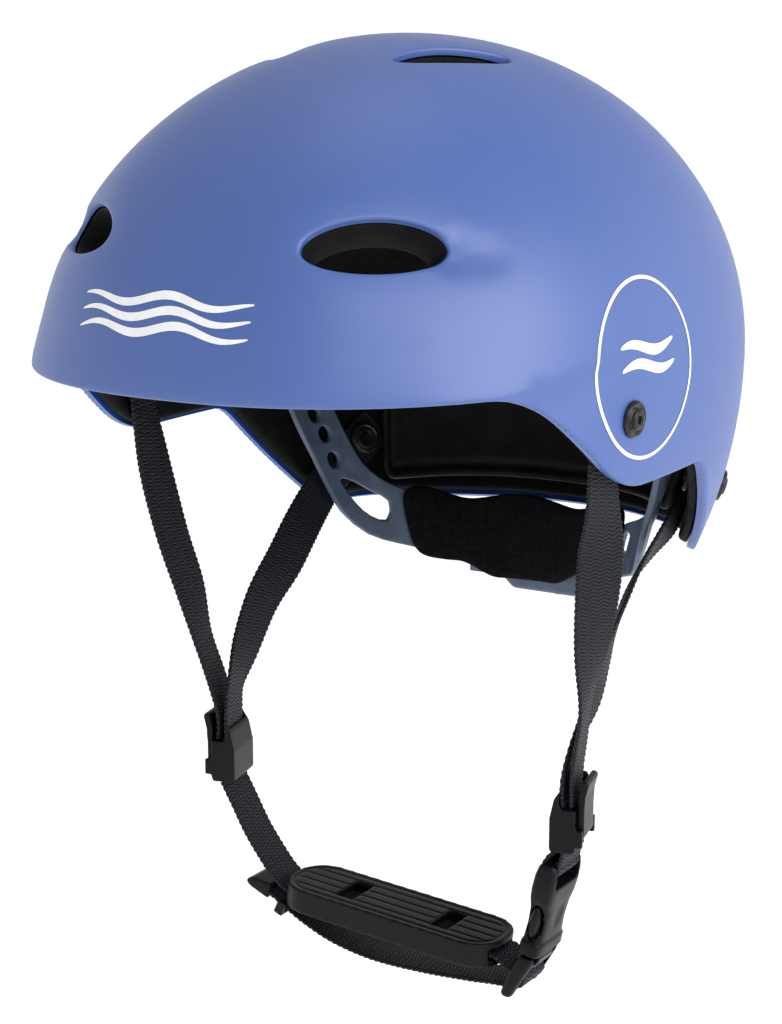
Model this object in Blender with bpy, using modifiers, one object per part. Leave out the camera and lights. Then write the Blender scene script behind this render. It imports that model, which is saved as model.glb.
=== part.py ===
"""Water helmet: shell, foam liner, pads, webbing straps, buckle, chin pad and rear cradle, each its own object.

Lengths are in metres. Front is -Y, the wearer's left is +X and up is +Z. While it is built, height 0 is the
brow rim; the last step lowers everything so that the crown pad's flat underside lies at the origin.
"""

import math

import bmesh
import bpy
from mathutils import Matrix, Vector

MM = 0.001
QUARTER = math.pi / 2

# Dome: half an egg in plan, an ellipse in section.
HALF_WIDTH = 104 * MM
FRONT_LENGTH = 141 * MM
REAR_LENGTH = 152 * MM
SQUARENESS = 2.34
WIDEST_HEIGHT = -1.5 * MM
CROWN_RISE = 112.5 * MM
SKIRT_DEPTH = 144 * MM
SHELL_THICKNESS = 3 * MM
DOME_COLUMNS = 60
DOME_ROWS = 14

# Rim, seen from the side.
BROW_HEIGHT = 6 * MM
TEMPLE_STEP = (-80 * MM, -32 * MM, 14 * MM, 37 * MM)
NAPE_STEP = (29 * MM, 68 * MM, 5 * MM, 43 * MM)

# Liner: thin at the rim where the straps hang, thick over the crown.
LINER_GAP = 0.7 * MM
LINER_RAISE = 1 * MM
LINER_THIN = 4.0 * MM
LINER_THICK = 14 * MM
LINER_TAPER = (12 * MM, 40 * MM)
PAD_GAP = 1.3 * MM
SEAT_HEIGHT = 80 * MM
CROWN_PAD_REACH = 0.22
CROWN_PAD_SIDES = 36

# Vents on the wearer's left: centre, half-length and half-width.
VENTS = {
    "front": ((53 * MM, -105 * MM, 51.5 * MM), 21.5 * MM, 9.5 * MM),
    "top": ((31 * MM, -20 * MM, 105 * MM), 25 * MM, 7 * MM),
    "rear": ((56 * MM, 112 * MM, 52 * MM), 21 * MM, 8.5 * MM),
}

# Rivets, by turn from the front and height.
FRONT_RIVET = (math.radians(73.6), -7.3 * MM)
REAR_RIVET = (math.radians(138.8), -53 * MM)
RIVET_HOLE_RADIUS = 2.5 * MM

# Webbing.
WEBBING_WIDTH = 16 * MM
WEBBING_THICKNESS = 1.8 * MM
STRAP_DEPTH = 9.9 * MM
STRAP_TWIST_LEFT = [(0.3, 0.95), (0.7, 0.72), (0.6, 0.8), (0.3, 0.95)]
STRAP_TWIST_RIGHT = [(0.1, 1), (0.15, 1), (0.12, 1), (0.05, 1)]

# Strap adjusters, for the wearer's left; both hang at the same place.
ADJUSTER = Vector((71.8, -7.5, -151)) * MM
ADJUSTER_HEIGHT = 24 * MM
ADJUSTER_TURN = Matrix.Rotation(math.radians(13), 3, "Z")
STRAP_LAP = 1.6 * MM
LEVER_HINGE_DROP = 6.5 * MM
LEVER_HINGE_OUT = 5.0 * MM

# Buckle: its bars lie across Y and its length leans outwards going up.
CHIN_Y = -7.5 * MM
BUCKLE_FOOT = Vector((57.4, -7.5, -215.1)) * MM
BUCKLE_LEAN = math.radians(13)
BUCKLE_WIDTH = 22 * MM
BUCKLE_THICKNESS = 9 * MM
UPPER_BAR_AT = 46 * MM
BAR_RADIUS = 1.7 * MM
PRONG_THICKNESS = 2.2 * MM
PRONG_OUT = -1.2 * MM

# Chin pad.
CHIN_PAD_CENTRE = Vector((2, -7.5, -203.8)) * MM
CHIN_PAD_TILT = math.radians(4.4)
CHIN_PAD_SIZE = (90 * MM, 28 * MM, 9 * MM)

# Chin strap hinge: where the webbing leaves the right adjuster.
SWING_AXIS_AT = Vector((-70.5, -7.5, -163.5)) * MM

# Rear cradle: an oval band that narrows towards its lower edge.
CRADLE_CENTRE_Y = 50 * MM
CRADLE_HALF_WIDTH = 77.5 * MM
CRADLE_HALF_DEPTH = 58 * MM
CRADLE_LEVEL = -36 * MM
CRADLE_LEAN = 0.339
CRADLE_PLATE = 2.4 * MM
TAIL_OFFSET = 7.0 * MM
PEG_TURN = math.radians(5.1)
PEG_HEIGHT = -27.5 * MM
PEG_RADIUS = 2.7 * MM
PEG_HOLE_RADIUS = 3.6 * MM
DIAL_CENTRE = Vector((0, 113.5, -97)) * MM
DIAL_RADIUS = 15 * MM
PINION_TEETH = 8
TOOTH_MODULE = 1 * MM
RACK_PITCH = math.pi * TOOTH_MODULE

BLUE = ((0.125, 0.19, 0.48, 1), 0.55)
CRADLE_GREY = ((0.12, 0.15, 0.21, 1), 0.5)
BLACK_PLASTIC = ((0.018, 0.018, 0.02, 1), 0.45)
BLACK_WEBBING = ((0.012, 0.013, 0.018, 1), 0.8)
BLACK_FOAM = ((0.015, 0.015, 0.016, 1), 0.9)
BLACK_RUBBER = ((0.02, 0.02, 0.021, 1), 0.6)
BLACK_METAL = ((0.03, 0.03, 0.032, 1), 0.35)


def clear_scene():
    for item in list(bpy.data.objects):
        bpy.data.objects.remove(item)


def new_collection(name):
    group = bpy.data.collections.new(name)
    bpy.context.scene.collection.children.link(group)
    return group


def paint(item, look, metallic=0.0):
    """Give the object its own Principled material."""
    colour, roughness = look
    material = bpy.data.materials.new(item.name)
    material.use_nodes = True
    shader = material.node_tree.nodes["Principled BSDF"]
    shader.inputs["Base Color"].default_value = colour
    shader.inputs["Roughness"].default_value = roughness
    shader.inputs["Metallic"].default_value = metallic
    item.data.materials.append(material)


def as_object(name, mesh_data, group, smooth=False):
    """Turn a bmesh into an object in the given collection."""
    mesh = bpy.data.meshes.new(name)
    mesh_data.to_mesh(mesh)
    mesh_data.free()
    for face in mesh.polygons:
        face.use_smooth = smooth
    item = bpy.data.objects.new(name, mesh)
    group.objects.link(item)
    return item


def box(name, size, place, group, turn=None):
    """A box by its size and centre, turned by an optional rotation matrix."""
    shape = bmesh.new()
    bmesh.ops.create_cube(shape, size=1.0)
    bmesh.ops.scale(shape, vec=Vector(size), verts=shape.verts)
    if turn:
        bmesh.ops.rotate(shape, cent=(0, 0, 0), matrix=turn, verts=shape.verts)
    item = as_object(name, shape, group)
    item.location = place
    return item


def rod(name, radius, length, place, axis, group, sides=24):
    """A cylinder centred on a place, along an axis."""
    shape = bmesh.new()
    bmesh.ops.create_cone(shape, cap_ends=True, segments=sides, radius1=radius, radius2=radius, depth=length)
    turn = Vector((0, 0, 1)).rotation_difference(Vector(axis)).to_matrix()
    bmesh.ops.rotate(shape, cent=(0, 0, 0), matrix=turn, verts=shape.verts)
    item = as_object(name, shape, group)
    item.location = place
    return item


def turned(name, profile, place, axis, group, sides=32):
    """A turned piece: radius and height pairs, top first, spun about an axis through the place."""
    shape = bmesh.new()
    points = [shape.verts.new((radius, 0, height)) for radius, height in profile]
    for first, second in zip(points, points[1:]):
        shape.edges.new((first, second))
    item = as_object(name, shape, group)
    item.location = place
    item.rotation_mode = "QUATERNION"
    item.rotation_quaternion = Vector((0, 0, 1)).rotation_difference(Vector(axis))
    screw = item.modifiers.new("spin", "SCREW")
    screw.steps = sides
    screw.render_steps = sides
    screw.use_merge_vertices = True
    screw.merge_threshold = 0.0001
    screw.use_smooth_shade = True
    return item


def cut(item, cutter):
    change = item.modifiers.new("cut", "BOOLEAN")
    change.operation = "DIFFERENCE"
    change.solver = "EXACT"
    change.object = cutter
    cutter.hide_render = True
    cutter.display_type = "WIRE"


def fuse(item, other):
    change = item.modifiers.new("join", "BOOLEAN")
    change.operation = "UNION"
    change.solver = "EXACT"
    change.object = other
    other.hide_render = True
    other.display_type = "WIRE"


def soften(item, width, segments=2):
    """Round the sharp edges."""
    change = item.modifiers.new("round", "BEVEL")
    change.width = width
    change.segments = segments
    change.limit_method = "ANGLE"
    change.angle_limit = math.radians(40)


def hang(item, parent):
    """Parent an object to an empty without moving it."""
    item.parent = parent
    item.matrix_parent_inverse = Matrix.LocRotScale(parent.location, parent.rotation_euler, None).inverted()


def pivot(name, place, group):
    item = bpy.data.objects.new(name, None)
    item.empty_display_size = 10 * MM
    item.location = place
    group.objects.link(item)
    return item


def smooth_step(value, low, high):
    share = min(max((value - low) / (high - low), 0.0), 1.0)
    return share * share * (3 - 2 * share)


def eased_ramp(value, start, end, ease):
    """Rises from 0 to 1 between start and end, with rounded corners of the given length."""

    def rise(distance):
        if distance <= -ease:
            return 0.0
        if distance >= ease:
            return distance
        return (distance + ease) ** 2 / (4 * ease)

    return (rise(value - start) - rise(value - end)) / (end - start)


# ---- dome ----


def plan_radius(turn):
    """Distance from the centre to the dome's widest outline, in the direction of a turn from the front."""
    length = FRONT_LENGTH if math.cos(turn) > 0 else REAR_LENGTH
    across = abs(math.sin(turn)) / HALF_WIDTH
    along = abs(math.cos(turn)) / length
    return (across**SQUARENESS + along**SQUARENESS) ** (-1 / SQUARENESS)


def outward(point):
    """Unit normal of the dome at a point on it."""
    length = FRONT_LENGTH if point.y < 0 else REAR_LENGTH
    rise = point.z - WIDEST_HEIGHT
    span = CROWN_RISE if rise > 0 else SKIRT_DEPTH
    share = min(abs(rise) / span, 0.9999)
    reach = math.sqrt(1 - share * share)
    across = math.copysign(abs(point.x) ** (SQUARENESS - 1) / HALF_WIDTH**SQUARENESS, point.x)
    along = math.copysign(abs(point.y) ** (SQUARENESS - 1) / length**SQUARENESS, point.y)
    upward = math.copysign(reach ** (SQUARENESS - 2) * share / span, rise)
    return Vector((across, along, upward)).normalized()


def dome_point(turn, level, depth=0.0):
    """Point at a turn from the front and an angle down from the crown, set in by a depth."""
    span = CROWN_RISE if level < QUARTER else SKIRT_DEPTH
    reach = plan_radius(turn) * math.sin(level)
    point = Vector((reach * math.sin(turn), -reach * math.cos(turn), WIDEST_HEIGHT + span * math.cos(level)))
    return point - outward(point) * depth


def level_at(height):
    rise = height - WIDEST_HEIGHT
    span = CROWN_RISE if rise > 0 else SKIRT_DEPTH
    return math.acos(max(-0.999, min(rise / span, 0.999)))


def dome_place(turn, height, depth=0.0):
    return dome_point(turn, level_at(height), depth)


def rim_height(y):
    height = BROW_HEIGHT
    for start, end, ease, drop in (TEMPLE_STEP, NAPE_STEP):
        height -= drop * eased_ramp(y, start, end, ease)
    return height


def rim_level(turn, raised=0.0):
    level = QUARTER
    for _ in range(8):
        point = dome_point(turn, level)
        level = level_at(rim_height(point.y) + raised)
    return level


def liner_thickness(height):
    return LINER_THIN + (LINER_THICK - LINER_THIN) * smooth_step(height, *LINER_TAPER)


def layer(name, rows, depth_at, thickness_at, group, closed):
    """A layer under the dome from rows of (turn, level): an open surface made solid towards the head."""
    shape = bmesh.new()
    weights = []
    grid = []
    for row in rows:
        line = []
        for turn, level in row:
            height = dome_point(turn, level).z
            line.append(shape.verts.new(dome_point(turn, level, depth_at(height))))
            weights.append(thickness_at(height))
        grid.append(line)
    count = len(grid[0])
    if closed:
        crown = shape.verts.new(dome_point(0, 0.001, depth_at(CROWN_RISE)))
        weights.append(thickness_at(CROWN_RISE))
        for index in range(count):
            shape.faces.new((crown, grid[0][index], grid[0][(index + 1) % count]))
    for upper, lower in zip(grid, grid[1:]):
        for index in range(count if closed else count - 1):
            after = (index + 1) % count
            shape.faces.new((upper[index], lower[index], lower[after], upper[after]))
    item = as_object(name, shape, group, smooth=True)
    thickest = max(weights)
    depth_group = item.vertex_groups.new(name="thickness")
    for index, weight in enumerate(weights):
        depth_group.add([index], weight / thickest, "REPLACE")
    solid = item.modifiers.new("thickness", "SOLIDIFY")
    solid.thickness = thickest
    solid.offset = -1
    solid.vertex_group = "thickness"
    return item


def dome_rows(columns, rows, raised=0.0):
    """Rows of (turn, level) from near the crown to the rim, all the way round."""
    turns = [2 * math.pi * index / columns for index in range(columns)]
    rims = [rim_level(turn, raised) for turn in turns]
    return [[(turn, rim * row / rows) for turn, rim in zip(turns, rims)] for row in range(1, rows + 1)]


def patch_rows(turns, heights, columns, rows):
    """Rows of (turn, level) over a patch between two turns and two heights, top first."""
    found = []
    for row in range(rows + 1):
        height = heights[1] + (heights[0] - heights[1]) * row / rows
        level = level_at(height)
        found.append([(turns[0] + (turns[1] - turns[0]) * i / columns, level) for i in range(columns + 1)])
    return found


def vent_cutter(name, place, half_length, half_width, side, group):
    """An oval plug through the shell and liner, square to the dome, its long axis along the vent."""
    centre = Vector((place[0] * side, place[1], place[2]))
    normal = outward(centre)
    if name.startswith("top"):
        along = Vector((0.34 * side, 1, 0))
    else:
        along = Vector((0, 0, 1)).cross(normal)
    along = (along - normal * along.dot(normal)).normalized()
    frame = Matrix((along, normal.cross(along), normal)).transposed().to_4x4()
    shape = bmesh.new()
    bmesh.ops.create_cone(shape, cap_ends=True, segments=36, radius1=1, radius2=1, depth=90 * MM)
    bmesh.ops.scale(shape, vec=(half_length, half_width, 1), verts=shape.verts)
    bmesh.ops.transform(shape, matrix=frame, verts=shape.verts)
    item = as_object(name, shape, group)
    item.location = centre
    return item


def make_shell_and_liner(parts, cutters):
    rows = dome_rows(DOME_COLUMNS, DOME_ROWS)
    shell = layer("outer_shell", rows, lambda h: 0.0, lambda h: SHELL_THICKNESS, parts, True)
    paint(shell, BLUE)
    start = SHELL_THICKNESS + LINER_GAP
    rows = dome_rows(DOME_COLUMNS, DOME_ROWS, LINER_RAISE)
    liner = layer("foam_liner", rows, lambda h: start, liner_thickness, parts, True)
    paint(liner, BLACK_FOAM)
    for side, word in ((1, "left"), (-1, "right")):
        for kind, (place, half_length, half_width) in VENTS.items():
            plug = vent_cutter(f"{kind}_vent_cut_{word}", place, half_length, half_width, side, cutters)
            cut(shell, plug)
            cut(liner, plug)
        for kind, (turn, height) in (("front", FRONT_RIVET), ("rear", REAR_RIVET)):
            place = dome_place(turn * side, height)
            drill_name = f"{kind}_rivet_cut_{word}"
            drill = rod(drill_name, RIVET_HOLE_RADIUS, 60 * MM, place, outward(place), cutters, 16)
            cut(shell, drill)
            cut(liner, drill)
        socket_place = peg_place(side) + Vector((side * 18 * MM, 0, 0))
        socket = rod(f"peg_cut_{word}", 4.5 * MM, 24 * MM, socket_place, (1, 0, 0), cutters, 20)
        cut(liner, socket)


def make_comfort_pads(parts):
    """Padding inside the liner: crown, brow, both sides and rear."""
    sides = CROWN_PAD_SIDES
    crown_rows = [[(2 * math.pi * i / sides, CROWN_PAD_REACH * row / 4) for i in range(sides)] for row in (1, 2, 3, 4)]
    shape = bmesh.new()
    depth = SHELL_THICKNESS + LINER_GAP + LINER_THICK + PAD_GAP
    rings = [[shape.verts.new(dome_point(turn, level, depth)) for turn, level in row] for row in crown_rows]
    rings.append([shape.verts.new((corner.co.x, corner.co.y, SEAT_HEIGHT)) for corner in rings[-1]])
    for upper, lower in zip(rings, rings[1:]):
        for index in range(sides):
            after = (index + 1) % sides
            shape.faces.new((upper[index], lower[index], lower[after], upper[after]))
    shape.faces.new(rings[0])
    shape.faces.new(list(reversed(rings[-1])))
    paint(as_object("crown_pad", shape, parts, smooth=True), BLACK_FOAM)

    def pad_depth(height):
        return SHELL_THICKNESS + LINER_GAP + liner_thickness(height) + PAD_GAP

    brow = patch_rows((math.radians(-42), math.radians(42)), (12 * MM, 36 * MM), 16, 4)
    paint(layer("brow_pad", brow, pad_depth, lambda h: 6 * MM, parts, False), BLACK_FOAM)
    rear = patch_rows((math.radians(146), math.radians(214)), (-69 * MM, 2 * MM), 16, 8)
    paint(layer("rear_pad", rear, pad_depth, lambda h: 8.4 * MM, parts, False), BLACK_FOAM)
    for side, word in ((1, "left"), (-1, "right")):
        ends = (math.radians(80.5), math.radians(103))
        turns = ends if side > 0 else (-ends[1], -ends[0])
        rows = patch_rows(turns, (-18 * MM, 24 * MM), 6, 6)
        paint(layer(f"side_pad_{word}", rows, pad_depth, lambda h: 5 * MM, parts, False), BLACK_FOAM)


def make_rivets(parts):
    """Four strap rivets, each with a washer that clamps the strap end inside."""
    rivet = [(0, 2.7), (3.0, 2.7), (3.5, 2.3), (3.6, 1.8), (5.5, 1.6), (6.0, 1.2), (6.0, 0.4), (2.1, 0.4)]
    rivet = rivet + [(2.1, -13.0), (0, -13.0)]
    rivet = [(radius * MM, height * MM) for radius, height in rivet]
    washer = [(2.4, -11.2), (6.2, -11.2), (6.2, -12.0), (5.6, -12.5), (2.4, -12.5), (2.4, -11.2)]
    washer = [(radius * MM, height * MM) for radius, height in washer]
    for side, word in ((1, "left"), (-1, "right")):
        for kind, (turn, height) in (("front", FRONT_RIVET), ("rear", REAR_RIVET)):
            place = dome_place(turn * side, height)
            axis = outward(place)
            paint(turned(f"{kind}_rivet_{word}", rivet, place, axis, parts, 24), BLACK_METAL, 0.8)
            paint(turned(f"{kind}_washer_{word}", washer, place, axis, parts, 24), BLACK_METAL, 0.8)


# ---- webbing ----


def smooth_path(stations, steps=4):
    """Catmull-Rom through stations of vectors, returned as a denser list."""
    found = []
    last = len(stations) - 1
    for index in range(last):
        before = stations[max(index - 1, 0)]
        start = stations[index]
        end = stations[index + 1]
        after = stations[min(index + 2, last)]
        for step in range(steps):
            t = step / steps
            near = 2 * start + (end - before) * t
            far = (2 * before - 5 * start + 4 * end - after) * t**2 + (3 * start - before - 3 * end + after) * t**3
            found.append((near + far) / 2)
    found.append(stations[-1].copy())
    return found


def ribbon(name, path, widths, group, thickness=WEBBING_THICKNESS, width=WEBBING_WIDTH):
    """A flat band along a path of points, with the direction of its width at each point."""
    shape = bmesh.new()
    rings = []
    for index, (point, across) in enumerate(zip(path, widths)):
        heading = path[min(index + 1, len(path) - 1)] - path[max(index - 1, 0)]
        across = (across - heading * (across.dot(heading) / heading.length_squared)).normalized()
        up = heading.cross(across).normalized()
        corners = [(-1, -1), (1, -1), (1, 1), (-1, 1)]
        ring = [point + across * (a * width / 2) + up * (b * thickness / 2) for a, b in corners]
        rings.append([shape.verts.new(corner) for corner in ring])
    for first, second in zip(rings, rings[1:]):
        for index in range(4):
            after = (index + 1) % 4
            shape.faces.new((first[index], first[after], second[after], second[index]))
    shape.faces.new(rings[0])
    shape.faces.new(list(reversed(rings[-1])))
    bmesh.ops.recalc_face_normals(shape, faces=shape.faces)
    return as_object(name, shape, group)


def mirrored(points, side):
    return [Vector((x * side, y, z)) * MM for x, y, z in points]


def adjuster_ends(side, out):
    """Where a strap enters the adjuster and where it stops inside it."""
    offset = ADJUSTER_TURN @ Vector((out * side, 0, 0))
    return [Vector((ADJUSTER.x * side, ADJUSTER.y, height * MM)) + offset for height in (-138, -147)]


def strap_paths(side):
    """Front and rear hanging straps: their centre lines and width directions."""
    turn, height = FRONT_RIVET
    front_tops = [height + lift * MM for lift in (9, 0, -9, -18)]
    front = [dome_place(turn * side, top, STRAP_DEPTH) for top in front_tops]
    front += mirrored([(90.5, -26, -41), (88.9, -23.4, -55), (86.2, -20.1, -72), (82.7, -15.9, -90),
                       (79.5, -13, -109), (75.8, -9.5, -126)], side) + adjuster_ends(side, STRAP_LAP)
    twist = STRAP_TWIST_LEFT if side > 0 else STRAP_TWIST_RIGHT
    front_widths = [Vector((0, 0, side)).cross(outward(point)) for point in front[:4]]
    across = ADJUSTER_TURN @ Vector((0, 1, 0))
    front_widths += [Vector((x, y, 0)) for x, y in twist] + [across] * 4
    rear_turn, rear_height = REAR_RIVET
    anchor = dome_place(rear_turn * side, rear_height, STRAP_DEPTH)
    normal = outward(dome_place(rear_turn * side, rear_height))
    heading = Vector((0.05 * side, -0.86, -0.5))
    heading = (heading - normal * heading.dot(normal)).normalized()
    rear = [anchor - heading * 9 * MM, anchor, anchor + heading * 9 * MM]
    rear += mirrored([(73.9, 68, -61.5), (72.8, 54, -68.8), (71.5, 41.5, -77), (71.4, 29.5, -88), (72.8, 17, -100),
                      (72.6, 6, -114), (71.2, -4, -127)], side) + adjuster_ends(side, -STRAP_LAP)
    edge = heading.cross(normal) * side
    lean = [(0.25, -0.5, 0.8), (0.4, -0.5, 0.7), (0.52, -0.48, 0.68), (0.5, -0.6, 0.55), (0.3, -0.85, 0.35)]
    lean += [(0.1, -0.97, 0.15)]
    rear_widths = [edge, edge, edge] + [Vector((x * side, y, z)) for x, y, z in lean] + [-across] * 3
    return front, front_widths, rear, rear_widths


def make_hanging_straps(parts, cutters):
    for side, word in ((1, "left"), (-1, "right")):
        front, front_widths, rear, rear_widths = strap_paths(side)
        bands = (("front", front, front_widths, FRONT_RIVET), ("rear", rear, rear_widths, REAR_RIVET))
        for kind, path, widths, (turn, height) in bands:
            band = ribbon(f"{kind}_strap_{word}", smooth_path(path), smooth_path(widths), parts)
            place = dome_place(turn * side, height)
            cut(band, rod(f"{kind}_strap_cut_{word}", 2.4 * MM, 40 * MM, place, outward(place), cutters, 16))
            paint(band, BLACK_WEBBING)


def make_adjusters(parts, cutters):
    """Two cam adjusters: a slotted base and a lever that clamps the webbing."""
    hinge_line = ADJUSTER_TURN @ Vector((0, 1, 0))
    for side, word in ((1, "left"), (-1, "right")):
        centre = Vector((ADJUSTER.x * side, ADJUSTER.y, ADJUSTER.z))

        def spot(out, across=0.0, up=0.0):
            return centre + ADJUSTER_TURN @ Vector((out * side, across, up))

        base_size = (9 * MM, 19.6 * MM, ADJUSTER_HEIGHT)
        base = box(f"adjuster_base_{word}", base_size, spot(-1.0 * MM), parts, ADJUSTER_TURN)
        for end in (-1, 1):
            ear_place = spot(LEVER_HINGE_OUT - 1.0 * MM, end * 8.4 * MM, -LEVER_HINGE_DROP)
            fuse(base, box(f"ear_{word}_{end + 1}", (5.2 * MM, 2.2 * MM, 7 * MM), ear_place, cutters, ADJUSTER_TURN))
        slot_size = (6.4 * MM, 17.2 * MM, ADJUSTER_HEIGHT + 4 * MM)
        cut(base, box(f"slot_cut_{word}", slot_size, centre, cutters, ADJUSTER_TURN))
        notch_place = spot(0, -9 * MM, 12 * MM)
        cut(base, box(f"notch_cut_{word}", (5 * MM, 14 * MM, 16 * MM), notch_place, cutters, ADJUSTER_TURN))
        hinge = spot(LEVER_HINGE_OUT, 0, -LEVER_HINGE_DROP)
        cut(base, rod(f"lever_pin_cut_{word}", 1.4 * MM, 40 * MM, hinge, hinge_line, cutters, 16))
        paint(base, BLACK_PLASTIC)

        outline = [(-1.1, 0), (-0.8, -0.8), (0, -1.2), (1.6, -1.2), (2.1, 0.8), (2.1, 14.5), (4.0, 18.6)]
        outline = outline + [(2.4, 19.4), (-0.6, 16.5), (-1.1, 13.0)]
        shape = bmesh.new()
        corners = [shape.verts.new((x * side * MM, -6.9 * MM, z * MM)) for x, z in outline]
        face = shape.faces.new(corners)
        grown = bmesh.ops.extrude_face_region(shape, geom=[face])
        moved = [piece for piece in grown["geom"] if isinstance(piece, bmesh.types.BMVert)]
        bmesh.ops.translate(shape, vec=(0, 13.8 * MM, 0), verts=moved)
        bmesh.ops.rotate(shape, cent=(0, 0, 0), matrix=ADJUSTER_TURN, verts=shape.verts)
        bmesh.ops.recalc_face_normals(shape, faces=shape.faces)
        lever = as_object(f"adjuster_lever_{word}", shape, parts)
        lever.location = hinge
        fuse(lever, rod(f"lever_pin_{word}", 1.1 * MM, 18.4 * MM, hinge, hinge_line, cutters, 16))
        paint(lever, BLACK_PLASTIC)


# ---- buckle ----


def buckle_place(out, along, across=0.0):
    """Point in the buckle's own frame: outwards, up along its length and across it."""
    lean = Vector((math.sin(BUCKLE_LEAN), 0, math.cos(BUCKLE_LEAN)))
    face = Vector((math.cos(BUCKLE_LEAN), 0, -math.sin(BUCKLE_LEAN)))
    return BUCKLE_FOOT + face * out + lean * along + Vector((0, across, 0))


def buckle_box(name, size, out, along, across, group):
    """A box in the buckle's frame: thickness, width, length."""
    turn = Matrix.Rotation(BUCKLE_LEAN, 3, "Y")
    return box(name, size, buckle_place(out, along, across), group, turn)


def make_buckle_socket(parts, cutters):
    """Upper half: a hollow body with side windows and a bar for the short drop strap."""
    body = buckle_box("buckle_socket", (BUCKLE_THICKNESS, BUCKLE_WIDTH, 36.5 * MM), 0, 30 * MM, 0, parts)
    cut(body, buckle_box("socket_strap_cut", (20 * MM, 17 * MM, 14 * MM), 0, 46.2 * MM, 0, cutters))
    cut(body, buckle_box("socket_mouth_cut", (6.3 * MM, 18.6 * MM, 26 * MM), 0.5 * MM, 23 * MM, 0, cutters))
    for end in (-1, 1):
        window = (4.6 * MM, 6 * MM, 13 * MM)
        cut(body, buckle_box(f"socket_window_cut_{end + 1}", window, 0, 24.5 * MM, end * 11 * MM, cutters))
    bar_place = buckle_place(0, UPPER_BAR_AT)
    fuse(body, rod("socket_bar", BAR_RADIUS, 19 * MM, bar_place, (0, 1, 0), cutters, 20))
    paint(body, BLACK_PLASTIC)
    return body


def make_drop_strap(parts, cutters):
    """Short doubled strap from the left adjuster, closed round the socket's bar."""
    bar = buckle_place(0, UPPER_BAR_AT)
    top = Vector((ADJUSTER.x - 1.4 * MM, CHIN_Y, -165.4 * MM))
    neck = ribbon("drop_strap_left", [top, bar + Vector((0, 0, 2.6 * MM))], [Vector((0, 1, 0))] * 2, parts,
                  thickness=4.4 * MM)
    fuse(neck, rod("drop_loop", 4.0 * MM, WEBBING_WIDTH + 0.4 * MM, bar, (0, 1, 0), cutters, 24))
    cut(neck, rod("drop_loop_cut", BAR_RADIUS + 0.3 * MM, 30 * MM, bar, (0, 1, 0), cutters, 20))
    paint(neck, BLACK_WEBBING)


def make_buckle_plug(parts, cutters, swing):
    """Lower half: frame with webbing bar and centre guide, and a sprung prong on each side."""
    frame = buckle_box("buckle_plug", (7 * MM, BUCKLE_WIDTH, 15.5 * MM), 0, 3.5 * MM, 0, parts)
    cut(frame, buckle_box("plug_strap_cut", (20 * MM, 17 * MM, 11 * MM), 0, 0, 0, cutters))
    fuse(frame, rod("plug_bar", BAR_RADIUS, 19 * MM, buckle_place(0, 0), (0, 1, 0), cutters, 20))
    fuse(frame, buckle_box("plug_guide", (PRONG_THICKNESS, 3.4 * MM, 20 * MM), PRONG_OUT, 20 * MM, 0, cutters))
    for end in (-1, 1):
        seat = (20 * MM, 3.3 * MM, 4.4 * MM)
        cut(frame, buckle_box(f"prong_seat_cut_{end + 1}", seat, 0, 11.0 * MM, end * 6.8 * MM, cutters))
    paint(frame, BLACK_PLASTIC)
    hang(frame, swing)
    for end, word in ((-1, "front"), (1, "rear")):
        hinge = buckle_place(0, 10.8 * MM, end * 6.8 * MM)
        size = (PRONG_THICKNESS, 2.6 * MM, 22 * MM)
        prong = buckle_box(f"prong_{word}", size, PRONG_OUT, 21.2 * MM, end * 6.8 * MM, parts)
        tip_size = (PRONG_THICKNESS - 0.2 * MM, 4.0 * MM, 9 * MM)
        tip = buckle_box(f"prong_tip_{word}", tip_size, PRONG_OUT, 24.6 * MM, end * 7.0 * MM, cutters)
        fuse(prong, tip)
        paint(prong, BLACK_PLASTIC)
        spring = pivot(f"prong_{word}_pivot", hinge, parts)
        hang(prong, spring)
        hang(spring, swing)
    return frame


def make_chin_webbing(parts, swing):
    """Chin strap from the right adjuster through the pad to the plug, and the loose tail that folds back."""
    middle = Vector((0, 1, 0))
    strap = mirrored([(-70.5, CHIN_Y / MM, -163.8), (-65.6, CHIN_Y / MM, -172), (-59.8, CHIN_Y / MM, -182),
                      (-53.4, CHIN_Y / MM, -190.5), (-47.6, CHIN_Y / MM, -197), (-41, CHIN_Y / MM, -200.9)], 1)
    for along in (-30, -10, 10, 30, 44):
        strap.append(pad_place(along * MM, 0, -0.5 * MM))
    strap.append(buckle_place(-5.5 * MM, 2.7 * MM))
    strap.append(buckle_place(-0.6 * MM, 2.95 * MM))
    path = smooth_path(strap)
    chin = ribbon("chin_strap", path, [middle] * len(path), parts)

    wrap = [buckle_place(-2.95 * MM * math.cos(a), 2.95 * MM * math.sin(a))
            for a in [math.radians(100 + 34 * step) for step in range(6)]]
    tail = wrap + mirrored([(47, CHIN_Y / MM, -218.2), (35, CHIN_Y / MM, -219.2), (15, CHIN_Y / MM, -220.2),
                            (-5, CHIN_Y / MM, -219.6), (-22, CHIN_Y / MM, -216.6), (-35, CHIN_Y / MM, -211.6),
                            (-45, CHIN_Y / MM, -206.8), (-52.5, CHIN_Y / MM, -204.2)], 1)
    path = smooth_path(tail, 3)
    loose = ribbon("chin_strap_tail", path, [middle] * len(path), parts)
    for band in (chin, loose):
        paint(band, BLACK_WEBBING)
        hang(band, swing)


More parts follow.
